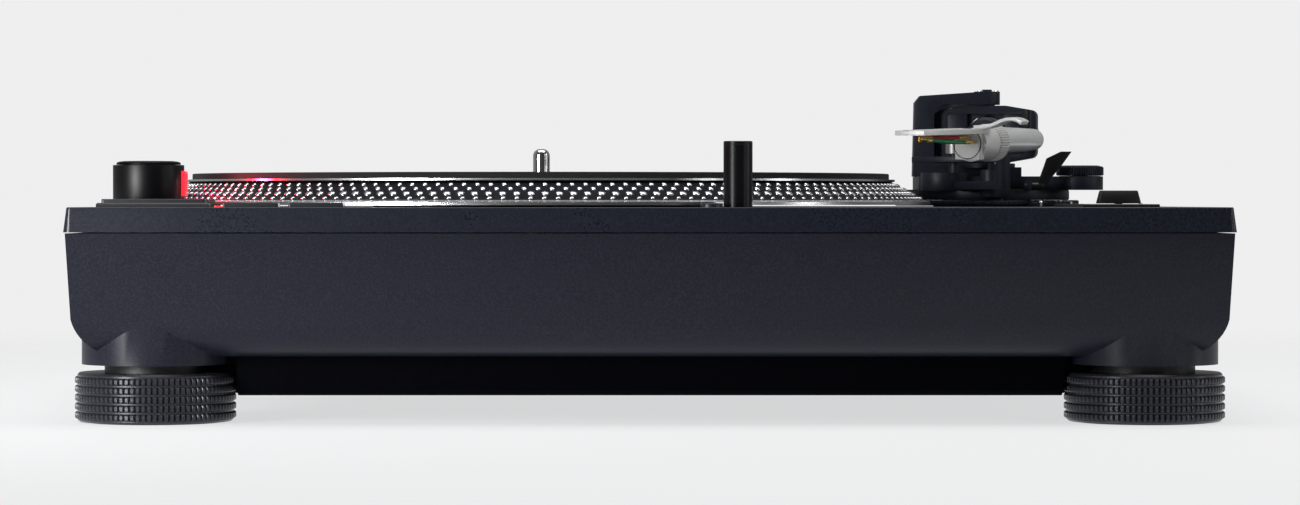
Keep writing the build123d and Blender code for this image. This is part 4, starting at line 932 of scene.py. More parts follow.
ARM_COAT = Finish("arm_satin", "arm_coat", (0.0145, 0.0168, 0.027), 0.44, scale=2600, depth=0.006, shade=0.3,
                  sheen=0.22)
ARM_SILVER = Finish("arm_anodised", "arm_silver", (0.76, 0.78, 0.78), 0.3, metallic=0.45, scale=4200,
                    depth=0.004, shade=0.05)
SHELL_SILVER = Finish("headshell_anodised", "headshell_silver", (0.74, 0.74, 0.73), 0.4, metallic=0.25,
                      scale=4200, depth=0.006, shade=0.06)
STOP_STEEL = Finish("satin_steel", "arm_silver", (0.3, 0.29, 0.28), 0.42, metallic=0.7,
                    grain=Grain.TURNED, scale=2500, depth=0.003)
PIN_GOLD = Finish("plated_pin", "lead_insulation", (0.85, 0.6, 0.22), 0.25, metallic=1.0,
                  grain=Grain.BRUSHED, scale=5000, depth=0.004)
NICKEL = Finish("plated_nickel", "screw_steel", (0.7, 0.69, 0.66), 0.22, metallic=1.0,
                grain=Grain.TURNED, scale=4000, depth=0.004)
WEIGHT_STEEL = Finish("black_chrome", "weight_steel", (0.03, 0.031, 0.036), 0.24, metallic=0.6,
                      scale=3000, depth=0.004)
FOOT_METAL = Finish("foot_satin", "foot_metal", (0.026, 0.027, 0.036), 0.28, metallic=0.3, scale=3000,
                    depth=0.005, shade=0.3)
FOOT_STEM = Finish("foot_isolator", "foot_stem", (0.006, 0.006, 0.0075), 0.5, grain=Grain.MOULDED,
                   scale=1500, depth=0.02)
PRINT_WHITE = Finish("printed_white", "trim_black", (0.6, 0.6, 0.58), 0.6, grain=Grain.MOULDED, scale=4000,
                     depth=0.002, shade=0.08)
# Painted shade: a black finish for pieces that stand in for the shade in gaps, holes and grooves
PAINTED_SHADE = Finish("painted_shade_black", "terminal_plastic", (0.004, 0.004, 0.004), 0.7, grain=Grain.MOULDED)
LEAD_COLOURS = {
    "white": Finish("lead_white", "lead_insulation", (0.62, 0.6, 0.55), 0.45, grain=Grain.MOULDED),
    "blue": Finish("lead_blue", "lead_insulation", (0.03, 0.1, 0.35), 0.45, grain=Grain.MOULDED),
    "red": Finish("lead_red", "lead_insulation", (0.55, 0.03, 0.025), 0.45, grain=Grain.MOULDED),
    "green": Finish("lead_green", "lead_insulation", (0.02, 0.25, 0.08), 0.45, grain=Grain.MOULDED),
}

_made: dict[str, bpy.types.Material] = {}


def material_of(finish: Finish) -> bpy.types.Material:
    """Makes a finish's material at its first use.

    Args:
        finish: the finish.

    Returns:
        Its material.
    """
    if finish.name not in _made:
        _made[finish.name] = finish.build()
    return _made[finish.name]


def coat_solid(node: str, finish: Finish) -> None:
    """Gives a solid its finish, in every one of its material slots.

    Args:
        node: the solid's name.
        finish: its finish.
    """
    solid = frame["nodes"][node]
    material = material_of(finish)
    if not solid.material_slots:
        solid.data.materials.append(material)
    for slot in solid.material_slots:
        slot.material = material
    log.info("%s is finished in %s", node, finish.name)


@dataclass
class Softener:
    """Closes a solid's loose triangles, rounds its sharp edges a little and shades it smooth.

    Gaps are in millimetres and angles in degrees.
    """
    closed_gap: float = 0.001
    flat_angle: float = 0.6
    round_angle: float = 35.0
    round_segments: int = 2
    crisp_angle: float = 28.0

    def __post_init__(self) -> None:
        """Makes the shading step that the solids share."""
        self.tree = bpy.data.node_groups.new("smooth_by_edge_angle", "GeometryNodeTree")
        for way in ("INPUT", "OUTPUT"):
            self.tree.interface.new_socket("Geometry", in_out=way, socket_type="NodeSocketGeometry")
        given = self.tree.nodes.new("NodeGroupInput")
        out = self.tree.nodes.new("NodeGroupOutput")
        faces = self.tree.nodes.new("GeometryNodeSetShadeSmooth")
        edges = self.tree.nodes.new("GeometryNodeSetShadeSmooth")
        edges.domain = "EDGE"
        angle = self.tree.nodes.new("GeometryNodeInputMeshEdgeAngle")
        smooth = self.tree.nodes.new("FunctionNodeCompare")
        smooth.operation = "LESS_THAN"
        smooth.inputs[1].default_value = math.radians(self.crisp_angle)
        link = self.tree.links.new
        link(given.outputs[0], faces.inputs["Geometry"])
        link(faces.outputs[0], edges.inputs["Geometry"])
        link(angle.outputs["Unsigned Angle"], smooth.inputs[0])
        link(smooth.outputs[0], edges.inputs["Shade Smooth"])
        link(edges.outputs[0], out.inputs[0])

    def soften(self, node: str, edge: float) -> None:
        """Adds the modifiers to a solid.

        Args:
            node: the solid's name.
            edge: width of the rounding in millimetres, or 0 for none.
        """
        solid = frame["nodes"][node]
        weld = solid.modifiers.new("close", "WELD")
        weld.merge_threshold = self.closed_gap * MM
        if edge:
            flatten = solid.modifiers.new("flatten", "DECIMATE")
            flatten.decimate_type = "DISSOLVE"
            flatten.angle_limit = math.radians(self.flat_angle)
            bevel = solid.modifiers.new("edges", "BEVEL")
            bevel.width = edge * MM
            bevel.segments = self.round_segments
            bevel.limit_method = "ANGLE"
            bevel.angle_limit = math.radians(self.round_angle)
            bevel.use_clamp_overlap = True
        shade = solid.modifiers.new("shade", "NODES")
        shade.node_group = self.tree

    def dress(self, solids: dict[str, tuple[Finish, float]]) -> None:
        """Finishes solids and softens their edges.

        Args:
            solids: each solid's finish, and the width of its rounding in millimetres.
        """
        for node, (finish, edge) in solids.items():
            coat_solid(node, finish)
            self.soften(node, edge)


# Sub-assemblies

@dataclass
class Case:
    """The cabinet, the deck and what is fixed to them."""
    softener: Softener
    # painted shade: a black strip fills the seam between cabinet and deck, where the gap only holds shade
    gasket_inset: float = 2.2
    gasket_width: float = 2.0
    gasket_edge: float = 0.05

    def dress(self) -> None:
        """Finishes every solid of the cabinet."""
        self.softener.dress({
            "top_plate": (DECK_COAT, 0.0), "cabinet_shell": (CASE_COAT, 0.0), "base_pan": (PAN_RUBBER, 0.0),
            "case_screws": (SCREW_OXIDE, 0.0), "stator_board": (BOARD_GREEN, 0.0),
            "stator_coils": (COPPER_WIRE, 0.3), "spindle_bearing": (BEARING_BRASS, 0.0),
            "strobe_tower": (TOWER_COAT, 0.25), "strobe_lens": (STROBE_RED, 0.0),
            "button_bezel": (TRIM_BLACK, 0.0), "pitch_plate": (TRIM_BLACK, 0.0),
            "pitch_fader": (FADER_PLASTIC, 0.2), "circuit_boards": (BOARD_GREEN, 0.0),
            "power_inlet": (TERMINAL_PLASTIC, 0.2), "phono_terminals": (TERMINAL_PLASTIC, 0.2),
            "hinge_sockets": (TERMINAL_PLASTIC, 0.3), "target_light_sleeve": (TRIM_BLACK, 0.0),
            "arm_mount": (ARM_COAT, 0.0),
        })
        self.gasket()

    def gasket(self) -> None:
        """Lays a black strip of painted shade in the seam between cabinet and deck."""
        low, high = box_of("top_plate")
        floor = top_of("cabinet_shell")
        inset = self.gasket_inset
        sides = []
        for sign in (-1, 1):
            (x_from, x_to), (y_from, y_to) = (
                sorted((sign * (reach - inset), sign * (reach - inset - self.gasket_width)))
                for reach in (high.x, high.y))
            for start, end in (((x_from, low.y + inset), (x_to, high.y - inset)),
                               ((low.x + inset, y_from), (high.x - inset, y_to))):
                sides.append(Bench.block("strip", (*start, floor), (*end, low.z), self.gasket_edge, 1))
        finish_piece(Bench.join("seam_shade_strip", sides), "cabinet", PAINTED_SHADE)


@dataclass
class RearTerminals:
    """The metal parts of the jacks and the earth post, with the jacks' insulators and the painted shade in their
    holes.
    """
    jack_radius: float = 4.15
    jack_length: float = 9.0
    sleeve: float = 0.12
    sleeve_foot: float = 0.5
    sleeve_step: float = 0.3
    step_foot: float = 7.6
    step_top: float = 7.8
    insulator_radius: float = 3.3
    insulator_foot: float = 8.0
    insulator_rise: float = 0.15
    contact_radius: float = 1.6
    contact_edge: float = 0.3
    contact_depth: float = 0.5
    contact_rise: float = 0.02
    post_radius: float = 2.0
    nut_radius: float = 4.3
    nut_foot: float = 2.0
    nut_length: float = 4.5
    nut_chamfer: float = 0.5
    nut_grooves: int = 24
    groove_depth: float = 0.35
    groove_skin: float = 0.1

    def facing_back(self, place: Vector) -> Matrix:
        """Turns an upright piece to point to the back, at the root of a terminal."""
        return at(place.x, place.y - self.jack_length / 2, place.z) @ turned_by(-90, "X")

    def jack(self, name: str, colour: str, place: Vector) -> None:
        """Builds one jack's sleeve and insulator, and a black disc of painted shade in its hole.

        Args:
            name: the jack's name.
            colour: the insulator's colour, one of LEAD_COLOURS.
            place: the jack's place in millimetres.
        """
        outer = self.jack_radius + self.sleeve
        step = self.sleeve_step
        face = self.jack_length
        bore = self.insulator_radius
        hole = self.contact_radius
        sleeve = [(bore, self.sleeve_foot), (outer, self.sleeve_foot), (outer, self.step_foot),
                  (outer - step, self.step_top), (outer - step, face), (outer - 2 * step, face + step),
                  (bore, face + step), (bore, self.sleeve_foot)]
        rise = face + self.insulator_rise
        insulator = [(hole, self.insulator_foot), (bore, self.insulator_foot), (bore, rise),
                     (hole + self.contact_edge, rise), (hole, face), (hole, self.insulator_foot)]
        # painted shade: a black disc that fills the jack's hole, where only shade falls
        hole_shade = [(0, face - self.contact_depth), (hole, face - self.contact_depth),
                   (hole, face + self.contact_rise), (0, face + self.contact_rise)]
        for part, profile, sides, finish, slot in (
                ("_sleeve", sleeve, Sides.SLEEVE, NICKEL, ""),
                ("_insulator", insulator, Sides.BUSH, LEAD_COLOURS[colour], "terminal_plastic"),
                ("_hole_shade", hole_shade, Sides.SOCKET, PAINTED_SHADE, "")):
            piece = Bench.place(Bench.turned(name + part, profile, sides), self.facing_back(place))
            finish_piece(Bench.smooth(piece), "cabinet", finish)

    def build(self) -> None:
        """Builds the jacks' metal and the earth nut at the record's mounts."""
        mounts = {m["name"]: Vector(m["pos_m"]) / MM for m in frame["record"]["mounts"]}
        for name, colour in (("phono_jack_left", "white"), ("phono_jack_right", "red")):
            self.jack(name, colour, mounts[name])
        nut = Bench.turned("earth_nut", ring_profile(
            self.post_radius, self.nut_radius, self.nut_foot, self.nut_foot + self.nut_length,
            self.nut_chamfer), self.nut_grooves * Bench.PER_LOBE)
        Bench.knurl(nut, self.nut_grooves, self.nut_radius - self.groove_skin, self.groove_depth)
        Bench.place(nut, self.facing_back(mounts["earth_post"]))
        finish_piece(Bench.smooth(nut), "cabinet", NICKEL)


@dataclass
class LevellingFeet:
    """The four turned feet: a cup with five knurled rings over a rubber sole."""
    softener: Softener
    radius: float = 31.5
    height: float = 19.6
    rings: int = 5
    ring_rise: float = 2.85
    ring_slope: float = 0.2
    ring_round: float = 0.65
    ring_inset: float = 0.35
    groove: float = 0.6
    groove_depth: float = 1.0
    lobes: int = 88
    per_lobe: int = 4
    lobe_depth: float = 0.85
    lobe_skin: float = 0.5
    chamfer: float = 0.8
    foot_inset: float = 0.9
    neck: float = 19.95
    floor: float = 3.0
    sole_radius: float = 27.0
    sole_rise: float = 0.35
    sole_edge: float = 0.4
    treads: int = 6
    tread_pitch: float = 4.0
    tread_depth: float = 0.2
    tread_slope: float = 0.5
    tread_floor: float = 0.6
    sharpest: float = 24.0

    def cup(self) -> bpy.types.Object:
        """Turns and knurls one foot at the origin.

        Returns:
            The foot's shell.
        """
        outer = self.radius
        inner = outer - self.groove_depth
        pitch = self.ring_rise + self.groove
        start = (self.height - self.rings * pitch + self.groove) / 2
        points = [(0, self.sole_rise), (self.sole_radius, self.sole_rise),
                  (inner - self.foot_inset, self.sole_rise), (inner, self.sole_rise + self.chamfer)]
        for index in range(self.rings):
            low = start + index * pitch
            high = low + self.ring_rise
            points += [(inner, low), (outer - self.ring_inset, low + self.ring_slope),
                       (outer, low + self.ring_round), (outer, high - self.ring_round),
                       (outer - self.ring_inset, high - self.ring_slope), (inner, high)]
        points += [(inner, self.height - self.chamfer), (inner - self.chamfer, self.height),
                   (self.neck, self.height), (self.neck, self.floor), (0, self.floor)]
        cup = Bench.turned("foot_cup", points, self.lobes * self.per_lobe)
        Bench.knurl(cup, self.lobes, outer - self.lobe_skin, self.lobe_depth, self.per_lobe)
        return Bench.smooth(cup, self.sharpest)

    def sole(self) -> bpy.types.Object:
        """Turns the ribbed rubber sole.

        Returns:
            The sole, at the origin.
        """
        slope, depth = self.tread_slope, self.tread_depth
        points = [(0, self.sole_rise), (0, 0.0)]
        for index in range(1, self.treads + 1):
            radius = index * self.tread_pitch
            inner, outer = radius + slope, radius + slope + self.tread_floor
            points += [(radius, 0.0), (inner, depth), (outer, depth), (outer + slope, 0.0)]
        points += [(self.sole_radius - self.sole_edge, 0.0), (self.sole_radius, depth),
                   (self.sole_radius, self.sole_rise), (0, self.sole_rise)]
        return Bench.smooth(Bench.turned("foot_sole", points, Sides.WASHER), self.sharpest)

    def build(self) -> None:
        """Builds the feet at the corners."""
        cup = self.cup()
        sole = self.sole()
        for corner in ("front_left", "front_right", "rear_left", "rear_right"):
            node = "foot_shell_" + corner
            centre = centre_of(node)
            place = at(centre.x, centre.y)
            shell = Bench.place(Bench.copy(cup, "knurled_foot_" + corner), place)
            finish_piece(shell, node, FOOT_METAL, [node])
            pad = Bench.place(Bench.copy(sole, "foot_sole_" + corner), place)
            finish_piece(pad, node, SOLE_RUBBER)
            self.softener.dress({"foot_core_" + corner: (FOOT_STEM, 0.0)})
        bpy.data.objects.remove(cup)
        bpy.data.objects.remove(sole)


@dataclass(frozen=True)
class DotRow:
    """One row of dots round the platter."""
    height: float
    count: int
    width: float
    length: float


@dataclass
class PlatterSet:
    """The platter with its four rows of polished dots, the mat, the spindle and the loose adaptor."""
    softener: Softener
    band_radius: float = 163.036
    band_foot: float = 87.1
    band_run: float = 13.5
    band_rise: float = 7.5
    dot_height: float = 0.6
    dot_profile: Profile = ((0.5, -0.3), (0.5, 0.5), (0.34, 0.85), (0, 1.0))
    dot_sides: int = 10
    slant: float = 24.0
    rows: tuple[DotRow, ...] = (DotRow(93.2, 180, 2.0, 2.3), DotRow(91.5, 180, 2.0, 2.5),
                                DotRow(89.65, 180, 2.9, 3.2), DotRow(87.75, 190, 2.0, 1.5))

    def dots(self, centre: Vector) -> bpy.types.Object:
        """Models one dot for each row, and repeats it round the platter.

        Args:
            centre: the platter's axis in millimetres.

        Returns:
            All the dots, as one piece.
        """
        tilt = math.degrees(math.atan2(self.band_rise, self.band_run))
        lean = turned_by(tilt, "Y") @ turned_by(self.slant, "Z")
        made = []
        for index, row in enumerate(self.rows):
            dot = Bench.smooth(Bench.turned("dot", self.dot_profile, self.dot_sides), ALL_ROUND)
            radius = self.band_radius - (row.height - self.band_foot) * self.band_run / self.band_rise
            size = Matrix.Diagonal((row.length, row.width, self.dot_height, 1))
            half_step = 180 / row.count
            Bench.place(dot, at(0, 0, 0, index * half_step) @ at(radius, 0, row.height) @ lean @ size)
            Bench.ring_copies(dot, row.count)
            made.append(dot)
        return Bench.place(Bench.join("platter_dots", made), at(centre.x, centre.y))

    def build(self) -> None:
        """Builds the dots and finishes the platter's solids."""
        centre = joint_place("platter_spin")
        metal = PlatterMetal("platter_turned", "platter_metal", (0.74, 0.74, 0.76), 0.22, metallic=1.0,
                             grain=Grain.TURNED, scale=900, depth=0.0004, shade=0.04,
                             centre=(centre.x, centre.y))
        finish_piece(self.dots(centre), "turning_platter", DOT_METAL)
        self.softener.dress({
            "platter": (metal, 0.0), "platter_mat": (MAT_RUBBER, 0.0), "spindle": (SPINDLE_STEEL, 0.0),
            "rotor_magnet": (MAGNET, 0.0), "record_adaptor": (ADAPTOR_METAL, 0.0),
        })


@dataclass
class StrobeTower:
    """The knurled power knob on the strobe tower, and the small lamp beside the speed buttons."""
    radius: float = 12.9
    low: float = 0.15
    rise: float = 1.6
    stem: float = 6.0
    stem_drop: float = 11.7
    crown: Profile = ((0.0, 0.75), (0.35, 1.1), (1.3, 1.4))
    face_inset: float = 3.0
    face_slope: float = 0.3
    face_sink: float = 0.15
    grooves: int = 96
    groove_from: float = 1.5
    groove_depth: float = 0.9
    mark_half: float = 0.35
    mark_from: float = 4.0
    mark_to: float = 9.0
    mark_rise: float = 0.05
    lamp_gap: float = 0.7
    lamp_width: float = 2.5
    lamp_inset: float = 0.5
    lamp_sink: float = 0.4
    lamp_rise: float = 0.5
    lamp_edge: float = 0.25

    def knob(self) -> None:
        """Builds the power knob and its mark."""
        centre = joint_place("power_knob_turn")
        place = at(centre.x, centre.y, top_of("power_knob") - self.rise)
        face = self.rise - self.face_sink
        inset = self.radius - self.face_inset
        knob = Bench.turned("power_knob_cap", [
            (0, -self.stem_drop), (self.stem, -self.stem_drop), (self.stem, self.low),
            (self.radius, self.low), *((self.radius - inward, rise) for inward, rise in self.crown),
            (inset, self.rise), (inset - self.face_slope, face), (0, face)], self.grooves * Bench.PER_LOBE)
        Bench.knurl(knob, self.grooves, self.radius - self.groove_from, self.groove_depth)
        Bench.place(knob, place)
        finish_piece(Bench.smooth(knob), "power_knob", TOWER_COAT, ["power_knob"])
        mark = Bench.block("power_knob_mark", (-self.mark_half, self.mark_from, face - PRINT_SINK),
                           (self.mark_half, self.mark_to, face + self.mark_rise), FINE_EDGE)
        finish_piece(Bench.place(mark, place), "power_knob", PRINT_WHITE)

    def build(self) -> None:
        """Builds the knob and the lamp."""
        self.knob()
        low, high = box_of("speed_33_button")
        deck = top_of("top_plate")
        right = low.x - self.lamp_gap
        left, inset = right - self.lamp_width, self.lamp_inset
        lamp = Bench.block("speed_lamp", (left, low.y + inset, deck - self.lamp_sink),
                           (right, high.y - inset, deck + self.lamp_rise), self.lamp_edge)
        finish_piece(Bench.smooth(lamp), "cabinet", LAMP_RED)


@dataclass
class Buttons:
    """The start/stop and speed buttons, and the buttons of the light and the pitch control."""
    softener: Softener
    numeral: float = 4.6

    def build(self) -> None:
        """Finishes the buttons and prints the speeds on theirs."""
        self.softener.dress({
            "start_stop_button": (BUTTON_COAT, 0.0), "speed_33_button": (BUTTON_COAT, 0.0),
            "speed_45_button": (BUTTON_COAT, 0.0), "target_release_button": (BUTTON_COAT, 0.0),
            "pitch_reset_button": (KNOB_PLASTIC, 0.0), "pitch_range_button": (KNOB_PLASTIC, 0.0),
        })
        for words in ("33", "45"):
            node = "speed_" + words + "_button"
            centre = centre_of(node)
            print_ = Bench.lettering("numeral_" + words, words, self.numeral)
            Bench.place(print_, at(centre.x, centre.y, top_of(node) + PRINT_RISE / 2))
            finish_piece(print_, node, PRINT_WHITE)


@dataclass
class TargetLight:
    """The pop-up light: a lacquered column with a small window towards the platter."""
    softener: Softener
    radius: float = 5.65
    window_drop: float = 5.0
    window_sink: float = 0.42
    window_profile: Profile = ((0, -0.6), (1.6, -0.6), (1.6, 0.2), (1.5, 0.25), (0.8, 0.39), (0, 0.45))
    seam_drop: float = 1.3
    seam_half: float = 0.12
    seam_depth: float = 0.3
    seam_rise: float = 0.02

    def build(self) -> None:
        """Finishes the column and adds its window and a black ring of painted shade in the cap's seam."""
        self.softener.dress({"target_light": (LIGHT_GLOSS, 0.0)})
        centre = centre_of("target_light")
        top = top_of("target_light")
        window = Bench.turned("light_window", self.window_profile, Sides.WINDOW)
        face = centre.y + self.radius - self.window_sink
        Bench.place(window, at(centre.x, face, top - self.window_drop) @ turned_by(-90, "X"))
        finish_piece(Bench.smooth(window), "target_light", PRINT_WHITE)
        # painted shade: a black ring that stands in for the shade in the groove at the cap's seam
        seam = Bench.turned("light_cap_seam_shade", ring_profile(
            self.radius - self.seam_depth, self.radius + self.seam_rise, -self.seam_half, self.seam_half),
            Sides.COLUMN)
        Bench.place(seam, at(centre.x, centre.y, top - self.seam_drop))
        finish_piece(Bench.smooth(seam), "target_light", PAINTED_SHADE)


@dataclass
class PitchControl:
    """The pitch slider's scale, its knob's line and its centre lamp."""
    softener: Softener
    knob_edge: float = 0.35
    travel: float = 50.0
    steps: int = 16
    scale_gap: float = 0.3
    tick: float = 2.4
    long_half: float = 0.22
    short_half: float = 0.14
    numbers: int = 4
    per_number: int = 2
    numeral: float = 3.1
    numeral_gap: float = 1.6
    line_reach: float = 7.0
    line_half: float = 0.28
    line_drop: tuple[float, float] = (1.1, 0.94)
    lamp_gap: float = 0.6
    lamp_profile: Profile = ((0, -0.3), (0.9, -0.3), (0.9, 0.1), (0.5, 0.35), (0, 0.4))

    def scale(self, edge: float, middle: float, top: float) -> bpy.types.Object:
        """Prints the scale beside the slider, with a number at each long line.

        Args:
            edge: where the lines end, next to the knob.
            middle: the slider's middle.
            top: the plate's height.

        Returns:
            The scale, as one piece.
        """
        front, run = middle - self.travel, 2 * self.travel
        marks = []
        for index in range(self.steps + 1):
            y = front + index * run / self.steps
            long = index % 2 == 0
            marks.append(printed_tick(edge - (self.tick if long else self.tick / 2), edge, y,
                                      self.long_half if long else self.short_half, top))
        for index in range(-self.numbers, self.numbers + 1):
            y = middle + index * self.travel / self.numbers
            number = Bench.lettering("number", str(abs(index) * self.per_number), self.numeral)
            x = edge - self.tick - self.numeral_gap
            marks.append(Bench.place(number, at(x, y, top + PRINT_RISE / 2)))
        return Bench.join("pitch_scale", marks)

    def build(self) -> None:
        """Finishes the knob, prints the scale on the plate and adds the lamp."""
        self.softener.dress({"pitch_knob": (KNOB_PLASTIC, self.knob_edge)})
        top = top_of("pitch_plate")
        low, high = box_of("pitch_knob")
        x, middle = (low.x + high.x) / 2, (low.y + high.y) / 2
        finish_piece(self.scale(low.x - self.scale_gap, middle, top), "cabinet", PRINT_WHITE)
        foot, face = (high.z - drop for drop in self.line_drop)
        line = Bench.block("pitch_knob_line", (x - self.line_reach, middle - self.line_half, foot),
                           (x + self.line_reach, middle + self.line_half, face), FINE_EDGE, 1)
        finish_piece(line, "pitch_knob", PRINT_WHITE)
        lamp = Bench.turned("pitch_centre_lamp", self.lamp_profile, Sides.SCREW)
        Bench.place(lamp, at(high.x + self.lamp_gap, middle, top))
        finish_piece(Bench.smooth(lamp), "cabinet", LAMP_GREEN)


@dataclass
class ArmBase:
    """The tonearm's base: knurled height ring with its scale, anti-skating dial, pedestal and stop."""
    softener: Softener
    overlap: float = 0.2
    ring_radius: float = 41.0
    ring_rise: float = 2.5
    ring_bore: float = 24.05
    ring_chamfer: float = 0.3
    ring_round: tuple[float, float] = (0.4, 0.5)
    ring_grooves: int = 260
    groove_depth: float = 0.35
    disc_radius: float = 36.7
    scale_lines: int = 61
    scale_step: float = 5.0
    scale_long: int = 10
    line_from: tuple[float, float] = (1.0, 0.4)
    line_to: float = 2.2
    line_half: float = 0.09
    numeral: float = 1.7
    numeral_out: float = 3.2
    numeral_turn: float = 2.6
    dial_radius: float = 10.45
    dial_rise: float = 4.5
    dial_pin: float = 3.05
    dial_grooves: int = 60
    dial_groove_depth: float = 0.55
    dial_skin: float = 0.3
    dial_chamfer: float = 0.5
    dial_foot: float = 0.4
    dial_rim: tuple[float, float] = (2.6, 3.0)
    dial_dish: float = 0.3
    dial_dimple: tuple[float, float] = (1.6, 1.2)
    dial_floor: float = 0.7
    dial_numbers: int = 8
    dial_number_step: float = 40.0
    dial_numeral: float = 1.9
    dial_numeral_in: float = 4.6
    foot_top: float = 101.8
    ring_floor: float = 103.5
    pedestal_radius: float = 12.6
    pedestal_chamfer: float = 0.3
    bar_from: float = 25.0
    bar_to: float = 2.0
    bar_half: float = 5.6
    guard_top: float = 130.6
    guard_foot: float = 105.0
    guard_rim: float = 1.9
    guard_sink: float = 3.8
    guard_ribs: int = 23
    tall_ribs: int = 11
    rib_from: float = 23.5
    rib_to: float = 24.7
    rib_half: float = 1.0
    rib_edge: float = 0.15
    rib_start: float = 176.0
    rib_step: float = 4.4
    stop_place: tuple[float, float] = (-16.6, -28.2)
    stop_low: float = 107.4
    stop_top: float = 112.7
    stop_radius: float = 3.9
    stop_edges: tuple[float, float] = (0.3, 0.4)
    post_radius: float = 2.6
    post_sink: float = 4.5
    washer_clear: float = 2.0
    washer_chamfer: float = 0.1
    # painted shade: black rings that fill the gaps under the height ring, where only shade falls
    washers: tuple[tuple[float, float, float], ...] = ((36.4, 87.15, 87.5), (36.5, 90.6, 91.75))
    # painted shade: a black ring under the anti-skating dial
    spacer_bore: float = 4.0
    spacer_radius: float = 9.2
    spacer_chamfer: float = 0.2
    spacer_rise: float = 1.7
    spacer_rim: float = 0.3
    spacer_gap: float = 0.12
    screw_places: tuple[tuple[float, float], ...] = ((-3.6, -3.4), (3.96, -3.4))
    screw_profile: Profile = ((0, 0), (0.9, 0), (0.9, 0.35), (0.7, 0.6), (0, 0.65))

    def height_ring(self) -> None:
        """Turns the ring and prints its scale."""
        pivot = joint_place("height_ring_turn")
        place = at(pivot.x, pivot.y, foot_of("height_ring"))
        outer, bore, top = self.ring_radius, self.ring_bore, self.ring_rise
        inward, down = self.ring_round
        ring = Bench.turned("knurled_height_ring", [
            (bore, 0), (outer - self.ring_chamfer, 0), (outer, self.ring_chamfer), (outer, top - down),
            (outer - inward, top), (bore, top), (bore, 0)], self.ring_grooves * Bench.PER_LOBE)
        Bench.knurl(ring, self.ring_grooves, outer - self.groove_depth, self.groove_depth)
        finish_piece(Bench.smooth(Bench.place(ring, place), KNURL_CRISP), "height_ring", ARM_COAT,
                     ["height_ring"])
        marks = []
        for index in range(self.scale_lines):
            long = index % self.scale_long == 0
            turn = index * self.scale_step
            tick = printed_tick(self.disc_radius + self.line_from[long], self.disc_radius + self.line_to, 0,
                                self.line_half, top)
            marks.append(Bench.place(tick, at(0, 0, 0, turn)))
            if long:
                number = Bench.lettering("number", str(index // self.scale_long), self.numeral)
                Bench.place(number, at(0, -self.disc_radius - self.numeral_out, top + PRINT_RISE / 2))
                marks.append(Bench.place(number, at(0, 0, 0, 90 + turn + self.numeral_turn)))
        scale = Bench.place(Bench.join("height_scale", marks), place)
        finish_piece(scale, "height_ring", PRINT_WHITE)

    def anti_skate_dial(self) -> None:
        """Turns the dial and prints its numbers."""
        centre = joint_place("anti_skate_turn")
        place = at(centre.x, centre.y, foot_of("anti_skate_dial"))
        outer, pin, top = self.dial_radius, self.dial_pin, self.dial_rise
        edge, dish, floor = self.dial_chamfer, top - self.dial_dish, top - self.dial_floor
        dial = Bench.turned("knurled_anti_skate_dial", [
            (pin, 0), (outer - edge, 0), (outer, self.dial_foot), (outer, top - 2 * edge),
            (outer - edge, top - edge), (outer - self.dial_rim[0], top), (outer - self.dial_rim[1], dish),
            (self.dial_dimple[0], dish), (self.dial_dimple[1], floor), (0, floor), (pin, floor), (pin, 0)],
            self.dial_grooves * Bench.PER_LOBE)
        Bench.knurl(dial, self.dial_grooves, outer - self.dial_skin, self.dial_groove_depth)
        finish_piece(Bench.smooth(Bench.place(dial, place), KNURL_CRISP), "anti_skate_dial", ARM_COAT,
                     ["anti_skate_dial"])
        marks = []
        for index in range(self.dial_numbers):
            number = Bench.lettering("number", str(index), self.dial_numeral)
            Bench.place(number, at(0, outer - self.dial_numeral_in, dish + PRINT_SINK))
            marks.append(Bench.place(number, at(0, 0, 0, -index * self.dial_number_step)))
        print_ = Bench.place(Bench.join("anti_skate_numbers", marks), place)
        finish_piece(print_, "anti_skate_dial", PRINT_WHITE)

    def pedestal(self) -> None:
        """Builds the pedestal under the gimbal and the ribbed web behind the yoke's leg."""
        pivot = joint_place("arm_swing")
        low, top = self.foot_top - self.overlap, self.ring_floor
        radius, edge = self.pedestal_radius, self.pedestal_chamfer
        disc = Bench.turned("pedestal_disc", [(0, low), (radius, low), (radius, top - edge),
                                              (radius - edge, top), (0, top)], Sides.COLLAR)
        bar = Bench.block("pedestal_bar", (-self.bar_from, -self.bar_half, low),
                          (-self.bar_to, self.bar_half, top), edge)
        web = []
        for index in range(self.guard_ribs):
            spans = [(low, self.guard_top)]
            if index >= self.tall_ribs:
                spans = [(top_of("arm_base") - self.guard_sink, self.guard_foot),
                         (self.guard_top - self.guard_rim, self.guard_top)]
            for foot, head in spans:
                rib = Bench.block("rib", (self.rib_from, -self.rib_half, foot),
                                  (self.rib_to, self.rib_half, head), self.rib_edge, 1)
                web.append(Bench.place(rib, at(0, 0, 0, self.rib_start - index * self.rib_step)))
        joined = Bench.place(Bench.join("gimbal_pedestal", [disc, bar, *web]), at(pivot.x, pivot.y))
        finish_piece(Bench.smooth(joined), "tonearm_base", ARM_COAT)

